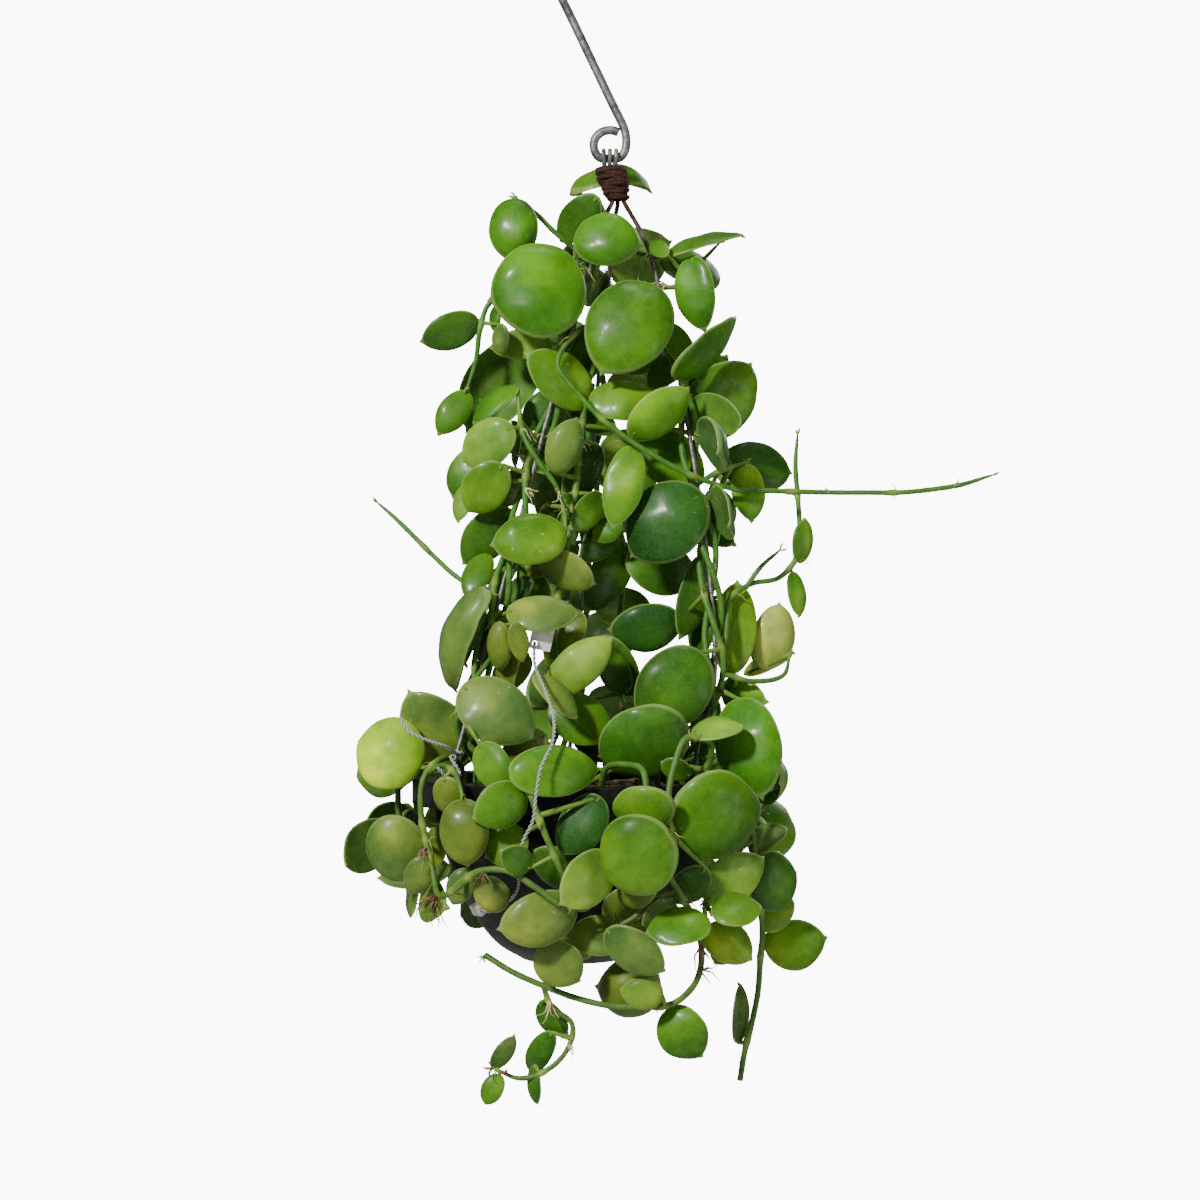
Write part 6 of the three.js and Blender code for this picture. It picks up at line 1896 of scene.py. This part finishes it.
def pot_piece(material):
    """The bowl, spun from its profile, its edges rounded and its holes cut."""
    wall = smooth_line([[r, 0, -down] for r, down in BOWL], 5)
    outer = [(r, -z) for r, _, z in wall]
    inner = [(r - POT_WALL, down - POT_WALL * 0.35) for r, down in outer]
    inner[0] = (outer[0][0] - POT_WALL, POT_BOTTOM_DOWN - POT_WALL)
    flange_down = RIM_DOWN + FLANGE_THICK
    skirt_in = RIM_R - SKIRT_THICK
    profile = [(0, POT_BOTTOM_DOWN), *outer, (56, flange_down), (skirt_in, flange_down),
               (skirt_in, RIM_DOWN + RIM_SKIRT), (RIM_R, RIM_DOWN + RIM_SKIRT), (RIM_R, RIM_DOWN),
               (MOUTH_R, RIM_DOWN), *inner[::-1], (0, POT_BOTTOM_DOWN - POT_WALL)]
    mesh = bpy.data.meshes.new("pot_shell")
    points = [((POT_ACROSS + r) * MM, 0, -down * MM) for r, down in profile]
    mesh.from_pydata(points, [(i, i + 1) for i in range(len(points) - 1)], [])
    piece = add_object("pot_shell", mesh)
    with edit_mode(piece):
        bpy.ops.mesh.spin(steps=96, angle=2 * math.pi, center=(POT_ACROSS * MM, 0, 0), axis=(0, 0, 1))
        bpy.ops.mesh.select_all(action="SELECT")
        bpy.ops.mesh.remove_doubles(threshold=0.00002)
        bpy.ops.mesh.normals_make_consistent(inside=False)
    round_edges(piece, bpy.context.scene.dischidia_sizes.rim_rounding, 35)
    holes = [(around_pot(angle, WIRE_HOLE_RING_R, RIM_DOWN + 1), WIRE_HOLE_R)
             for angle in RIM_ANGLES.values()]
    holes += [(around_pot(45 + 360 * k / DRAIN_HOLES, DRAIN_RING_R, POT_BOTTOM_DOWN), DRAIN_HOLE_R)
              for k in range(DRAIN_HOLES)]
    for place, radius in holes:
        bpy.ops.mesh.primitive_cylinder_add(vertices=24, radius=radius * MM, depth=0.009, location=place * MM)
        cutter = bpy.context.object
        cut = piece.modifiers.new("hole", "BOOLEAN")
        cut.operation = "DIFFERENCE"
        cut.object = cutter
        apply_modifiers(piece)
        bpy.data.objects.remove(cutter)
    only(piece)
    bpy.ops.object.shade_smooth_by_angle(angle=math.radians(32))
    paint(piece, material)
    return piece


def node_copy(node, name):
    """A copy of a node with its doubled corners merged."""
    piece = add_object(name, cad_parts[node].data.copy())
    with edit_mode(piece):
        bpy.ops.mesh.remove_doubles(threshold=MERGE)
    return piece


def softened_copy(node, name, width, material):
    """A copy of a flat small node with its edges rounded."""
    piece = node_copy(node, name)
    with edit_mode(piece):
        bpy.ops.mesh.dissolve_limited(angle_limit=math.radians(2))
    round_edges(piece, width * MM, 50)
    bpy.ops.object.shade_smooth_by_angle(angle=math.radians(40))
    paint(piece, material)
    return piece


def mix_piece(material):
    """The crumbly potting mix: a finer copy of its node, roughened on top."""
    piece = node_copy("potting_mix", "mix_body")
    remesh = piece.modifiers.new("even", "REMESH")
    remesh.mode = "VOXEL"
    remesh.voxel_size = MIX_GRAIN
    apply_modifiers(piece)
    draw = draws(4711)
    bumps = [(any_turn(draw), 0.3 + 1.2 * next(draw), 6.3 * next(draw)) for _ in range(14)]
    top = -(MIX_TOP_DOWN + 5) * MM
    for corner in piece.data.vertices:
        if corner.co.z > top and corner.normal.z > 0.3:
            x, y = corner.co.x / MM, corner.co.y / MM
            rise = sum(math.sin(f * (x * math.cos(a) + y * math.sin(a)) + p) for a, f, p in bumps) / 7
            corner.co.z += MIX_RISE * rise * MM
    all_smooth(piece.data)
    paint(piece, material)
    return piece


def strewn(draw, radius, height):
    """A place anywhere on the round bed in the pot."""
    reach = radius * math.sqrt(next(draw))
    turn = any_turn(draw)
    return vector(POT_ACROSS + reach * math.cos(turn), reach * math.sin(turn), height)


def add_chips(skin, vines, draw):
    """Bark chips where they lie clear of the stems."""
    ball, faces = primitive(bpy.ops.mesh.primitive_ico_sphere_add, subdivisions=2, radius=1)
    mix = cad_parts["potting_mix"].data
    corners = [corner.co for corner in mix.vertices]
    top = BVHTree.FromPolygons(corners, [face.vertices for face in mix.polygons])
    stems = np.concatenate([line for vine in vines.values() for line in vine.lines])
    stems = stems[np.abs(stems[:, 2] + MIX_TOP_DOWN - 4) < 12][:, :2]
    for _ in range(bpy.context.scene.dischidia_sizes.chips):
        place = strewn(draw, CHIP_BED_R, 0)
        size = vector(2 + 2.6 * next(draw), 1.2 + 1.2 * next(draw), 0.6 + 0.6 * next(draw))
        spin = any_turn(draw)
        tilt = 0.5 * either_way(draw)
        rough = np.array([0.75 + 0.5 * next(draw) for _ in ball])[:, None]
        spot, *_ = top.ray_cast(Vector((place[0] * MM, place[1] * MM, -RIM_DOWN * MM)), Vector((0, 0, -1)))
        if spot is None or lengths_of(stems - place[:2]).min() < size[0] + 2.2:
            continue
        x, y, z = (signed_power(ball, 0.7) * size * rough).T
        c, s = math.cos(spin), math.sin(spin)
        points = np.stack([x * c - y * s, x * s + y * c, z + tilt * x], axis=1)
        points += vector(place[0], place[1], spot.z / MM + size[2] * 0.4)
        shade = 0.5 + next(draw)
        skin.add(points, [], faces, np.array([*CHIP_COLOUR, 0]) * shade, points[:, :2])


def add_fibres(skin, draw):
    """Thin husk fibres that wind over the mix."""
    for _ in range(FIBRES):
        line = [strewn(draw, FIBRE_BED_R, 0.4 - MIX_TOP_DOWN)]
        way = vector(either_way(draw), either_way(draw), 0)
        for _ in range(6):
            way = unit(way + vector(either_way(draw), either_way(draw), 0.2 * either_way(draw)))
            line.append(line[-1] + way * 1.9)
        if max(math.hypot(point[0] - POT_ACROSS, point[1]) for point in line) < FIBRE_REACH:
            add_tube(skin, smooth_line(line, 2), FIBRE_R, 5, FIBRE_MARK)


def bark_piece(material, vines):
    """Bark chips and husk fibres lying on the mix."""
    draw = draws(8191)
    skin = Skin()
    add_chips(skin, vines, draw)
    add_fibres(skin, draw)
    piece = skin.piece("bark_chips", material)
    only(piece)
    bpy.ops.object.shade_smooth_by_angle(angle=math.radians(30))
    return piece


# Stage. A light has a place, a size in metres, a power in watts and a colour.

FLOOR_GLOW = 10.0
FLOOR_Z = -1.25
FLOOR_R = 2.2
FLOOR_CURVE = [(0.25, 0.03), (0.5, 0.13), (0.7, 0.3), (0.85, 0.55), (0.9, 0.9), (0.9, 1.6), (0.9, 2.4)]
WORLD_LIGHT = 0.17
LIGHT_AIM = (0, 0, -0.28)
LIGHTS = {
    "key_light": ((-1.0, -1.45, 0.7), 0.2, 47, (1.0, 0.985, 0.94)),
    "fill_light": ((1.3, -1.3, -0.6), 1.2, 7, (1.0, 1.0, 0.96)),
    "top_light": ((0.1, -0.1, 1.3), 0.6, 6, (1, 1, 0.97)),
    "rim_light": ((0.9, 1.4, 0.5), 0.9, 9, (1, 1, 0.97)),
}


def look_from_front(camera_name):
    """A level camera that shows the plant as the photograph does."""
    data = bpy.data.cameras.new(camera_name)
    data.sensor_width = SENSOR_WIDTH
    data.sensor_fit = "HORIZONTAL"
    data.lens = SENSOR_WIDTH * VIEW_DISTANCE / VIEW_WIDTH
    data.clip_start = 0.01
    data.clip_end = 50
    camera = add_object(camera_name, data)
    camera.location = (VIEW_ACROSS * MM, -VIEW_DISTANCE * MM, -VIEW_DOWN * MM)
    camera.rotation_euler = (math.radians(90), 0, 0)
    bpy.context.scene.camera = camera


def soft_light(name, place, size, power, colour):
    """A square soft light at a place, turned towards the plant."""
    data = bpy.data.lights.new(name, "AREA")
    data.shape = "SQUARE"
    data.size = size
    data.energy = power
    data.color = colour
    lamp = add_object(name, data)
    lamp.location = place
    lamp.rotation_euler = (Vector(LIGHT_AIM) - Vector(place)).to_track_quat("-Z", "Y").to_euler()


def floor_dish(material):
    """A pale floor that curves up all round."""
    deselect_all()
    bpy.ops.mesh.primitive_circle_add(vertices=96, radius=FLOOR_R, fill_type="NGON", location=(0, 0, FLOOR_Z))
    floor = bpy.context.object
    floor.name = "studio_floor"
    bpy.ops.object.transform_apply(location=True, rotation=True, scale=True)
    with edit_mode(floor):
        for outwards, upwards in FLOOR_CURVE:
            bpy.ops.mesh.extrude_edges_move()
            bpy.ops.object.mode_set(mode="OBJECT")
            reach = FLOOR_R + outwards
            for corner in floor.data.vertices:
                if corner.select:
                    turn = math.atan2(corner.co.y, corner.co.x)
                    corner.co = (reach * math.cos(turn), reach * math.sin(turn), FLOOR_Z + upwards)
            bpy.ops.object.mode_set(mode="EDIT")
    all_smooth(floor.data)
    paint(floor, material)
    floor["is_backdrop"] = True


# Sizes and looks that a user may change

class DischidiaSizes(bpy.types.PropertyGroup):
    """Sizes of the pieces."""

    hook_wire: bpy.props.FloatProperty(
        name="Hook wire", description="Thickness of the hook's wire", default=2 * HOOK_WIRE_R * MM,
        min=0.001, max=0.006, precision=4, unit="LENGTH")
    hanger_wire: bpy.props.FloatProperty(
        name="Hanger wire", description="Thickness of the three wires that hold the pot",
        default=2 * HANGER_WIRE_R * MM, min=0.0005, max=0.003, precision=4, unit="LENGTH")
    string_width: bpy.props.FloatProperty(
        name="String", description="Thickness of the twisted string", default=2 * STRING_R * MM,
        min=0.0005, max=0.003, precision=4, unit="LENGTH")
    rim_rounding: bpy.props.FloatProperty(
        name="Rim rounding", description="How far the pot's edges are rounded", default=0.0006,
        min=0.0001, max=0.001, precision=4, unit="LENGTH")
    root_share: bpy.props.FloatProperty(
        name="Roots", description="Length of the aerial roots against their usual one", default=1.0,
        min=0.2, max=1.5, subtype="FACTOR")
    chips: bpy.props.IntProperty(
        name="Bark chips", description="How many bark chips are strewn on the potting mix", default=340,
        min=0, max=600)


class DischidiaLooks(bpy.types.PropertyGroup):
    """Colours and finishes of the pieces."""

    leaf_light: bpy.props.FloatProperty(
        name="Leaf brightness", description="How light the leaves are against their usual tints", default=1.0,
        min=0.3, max=2.0, subtype="FACTOR")
    leaf_glow: bpy.props.FloatProperty(
        name="Leaf glow", description="How much light spreads inside the fleshy leaves", default=0.12,
        min=0.0, max=1.0, subtype="FACTOR")
    leaf_blotch: bpy.props.FloatProperty(
        name="Leaf blotches", description="Strength of the soft blotches on the leaves", default=0.5,
        min=0.0, max=1.0, subtype="FACTOR")
    leaf_roughness: bpy.props.FloatProperty(
        name="Leaf roughness", description="Least roughness of the waxy leaves", default=0.36,
        min=0.05, max=0.9, subtype="FACTOR")
    zinc: bpy.props.FloatVectorProperty(
        name="Zinc", description="Colour of the galvanised hook", default=(0.34, 0.36, 0.36), size=3,
        min=0, max=1, subtype="COLOR")
    pot: bpy.props.FloatVectorProperty(
        name="Pot", description="Colour of the pot's plastic", default=(0.0045, 0.005, 0.0055), size=3,
        min=0, max=1, subtype="COLOR")
    floor: bpy.props.FloatVectorProperty(
        name="Floor", description="Colour of the studio floor", default=(0.6, 0.6, 0.6), size=3,
        min=0, max=1, subtype="COLOR")


# One operator for each group of like pieces

class DISCHIDIA_OT_stage(bpy.types.Operator):
    """Adds the camera, the soft studio lights and the pale floor"""

    bl_idname = "dischidia.stage"
    bl_label = "Stage"

    def execute(self, context):
        look_from_front("front_camera")
        floor_dish(floor_material())
        for name, facts in LIGHTS.items():
            soft_light(name, *facts)
        world = bpy.data.worlds.new("studio_air")
        world.use_nodes = True
        back = world.node_tree.nodes["Background"]
        back.inputs["Color"].default_value = (1, 1, 1, 1)
        back.inputs["Strength"].default_value = WORLD_LIGHT
        context.scene.world = world
        return {"FINISHED"}


class DISCHIDIA_OT_strings(bpy.types.Operator):
    """Adds the tag on its string, and the short string that is tied round the left wire"""

    bl_idname = "dischidia.strings"
    bl_label = "Strings and tag"

    def execute(self, context):
        width = context.scene.dischidia_sizes.string_width
        material = string_material()
        tag = softened_copy("tag", "paper_tag", 0.22, tag_material())
        dress(tag, PLANT_BODY, "tag_paper", "tag")
        piece, path = twisted_string("tag_cord", tag_string_route(), width / MM / 2, material)
        dress(piece, PLANT_BODY, "string", "tag_string")
        tuple(path[-1])
        [tuple(place) for place in path[::-1]]
        piece, path = twisted_string("tie_cord", tie_string_route(), width / MM / 2, material)
        dress(piece, PLANT_BODY, "string", "tie_string")
        tuple(path[0])
        [tuple(place) for place in path]
        return {"FINISHED"}


class DISCHIDIA_OT_hook(bpy.types.Operator):
    """Adds the galvanised hook with its bent eye"""

    bl_idname = "dischidia.hook"
    bl_label = "Hook"

    def execute(self, context):
        radius = context.scene.dischidia_sizes.hook_wire / MM / 2
        piece = metal_tube("hook_wire", hook_route(), radius, 20, 7, hook_material())
        dress(piece, HOOK_BODY, "hook_steel", "hook")
        return {"FINISHED"}


class DISCHIDIA_OT_hanger(bpy.types.Operator):
    """Adds the three hanger wires and the rusty wire that binds them"""

    bl_idname = "dischidia.hanger"
    bl_label = "Hanger wires"

    def execute(self, context):
        radius = context.scene.dischidia_sizes.hanger_wire / MM / 2
        material = hanger_material()
        for name in HANGER_WIRES:
            piece = metal_tube(f"wire_{name}", hanger_route(name), radius, 12, 6, material)
            dress(piece, PLANT_BODY, "hanger_steel", f"hanger_wire_{name}")
        piece = binding_skin(draws(31)).piece("rusty_binding", rust_material())
        dress(piece, PLANT_BODY, "rusty_wire", "binding")
        return {"FINISHED"}


class DISCHIDIA_OT_pot(bpy.types.Operator):
    """Adds the black bowl and the clip on its wall"""

    bl_idname = "dischidia.pot"
    bl_label = "Pot and clip"

    def execute(self, context):
        dress(pot_piece(pot_material()), PLANT_BODY, "pot_plastic", "pot")
        dress(softened_copy("clip", "pale_clip", 0.4, clip_material()), PLANT_BODY, "clip_plastic", "clip")
        return {"FINISHED"}


class DISCHIDIA_OT_plants(bpy.types.Operator):
    """Adds the potting mix with its bark, and every stem with its leaves and roots"""

    bl_idname = "dischidia.plants"
    bl_label = "Plants and potting mix"

    def execute(self, context):
        vines = grow_plants()
        dress(mix_piece(mix_material()), PLANT_BODY, "potting_mix", "potting_mix")
        dress(bark_piece(bark_material(), vines), PLANT_BODY, "potting_mix")
        shape = unit_leaf()
        leaf_finish, stem_finish = leaf_material(), stem_material()
        tufts = tufts_of(vines)
        for vine in vines.values():
            dress_vine(vine, tufts[vine.name], shape, leaf_finish, stem_finish)
        return {"FINISHED"}


class DISCHIDIA_PT_panel(bpy.types.Panel):
    """Lists the sizes, the looks and the steps"""

    bl_label = "Hanging Dischidia"
    bl_idname = "DISCHIDIA_PT_panel"
    bl_space_type = "VIEW_3D"
    bl_region_type = "UI"
    bl_category = "Hanging Dischidia"

    def draw(self, context):
        for group in (context.scene.dischidia_sizes, context.scene.dischidia_looks):
            box = self.layout.box()
            for name in group.bl_rna.properties.keys():
                if name not in ("rna_type", "name"):
                    box.prop(group, name)
        for step in STEPS:
            self.layout.operator(step.bl_idname)


STEPS = (DISCHIDIA_OT_stage, DISCHIDIA_OT_strings, DISCHIDIA_OT_hook, DISCHIDIA_OT_hanger, DISCHIDIA_OT_pot,
         DISCHIDIA_OT_plants)
CLASSES = (DischidiaSizes, DischidiaLooks, *STEPS, DISCHIDIA_PT_panel)


def register():
    for kind in CLASSES:
        bpy.utils.register_class(kind)
    bpy.types.Scene.dischidia_sizes = bpy.props.PointerProperty(type=DischidiaSizes)
    bpy.types.Scene.dischidia_looks = bpy.props.PointerProperty(type=DischidiaLooks)


def unregister():
    del bpy.types.Scene.dischidia_looks
    del bpy.types.Scene.dischidia_sizes
    for kind in reversed(CLASSES):
        bpy.utils.unregister_class(kind)


def main():
    register()
    bpy.ops.dischidia.stage()
    bpy.ops.dischidia.strings()
    bpy.ops.dischidia.hook()
    bpy.ops.dischidia.hanger()
    bpy.ops.dischidia.pot()
    bpy.ops.dischidia.plants()
    boxes = {"cad": CAD_BOX, "visual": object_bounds()}
    {name: [list(corner) for corner in box] for name, box in boxes.items()}


if __name__ == "__main__":
    main()
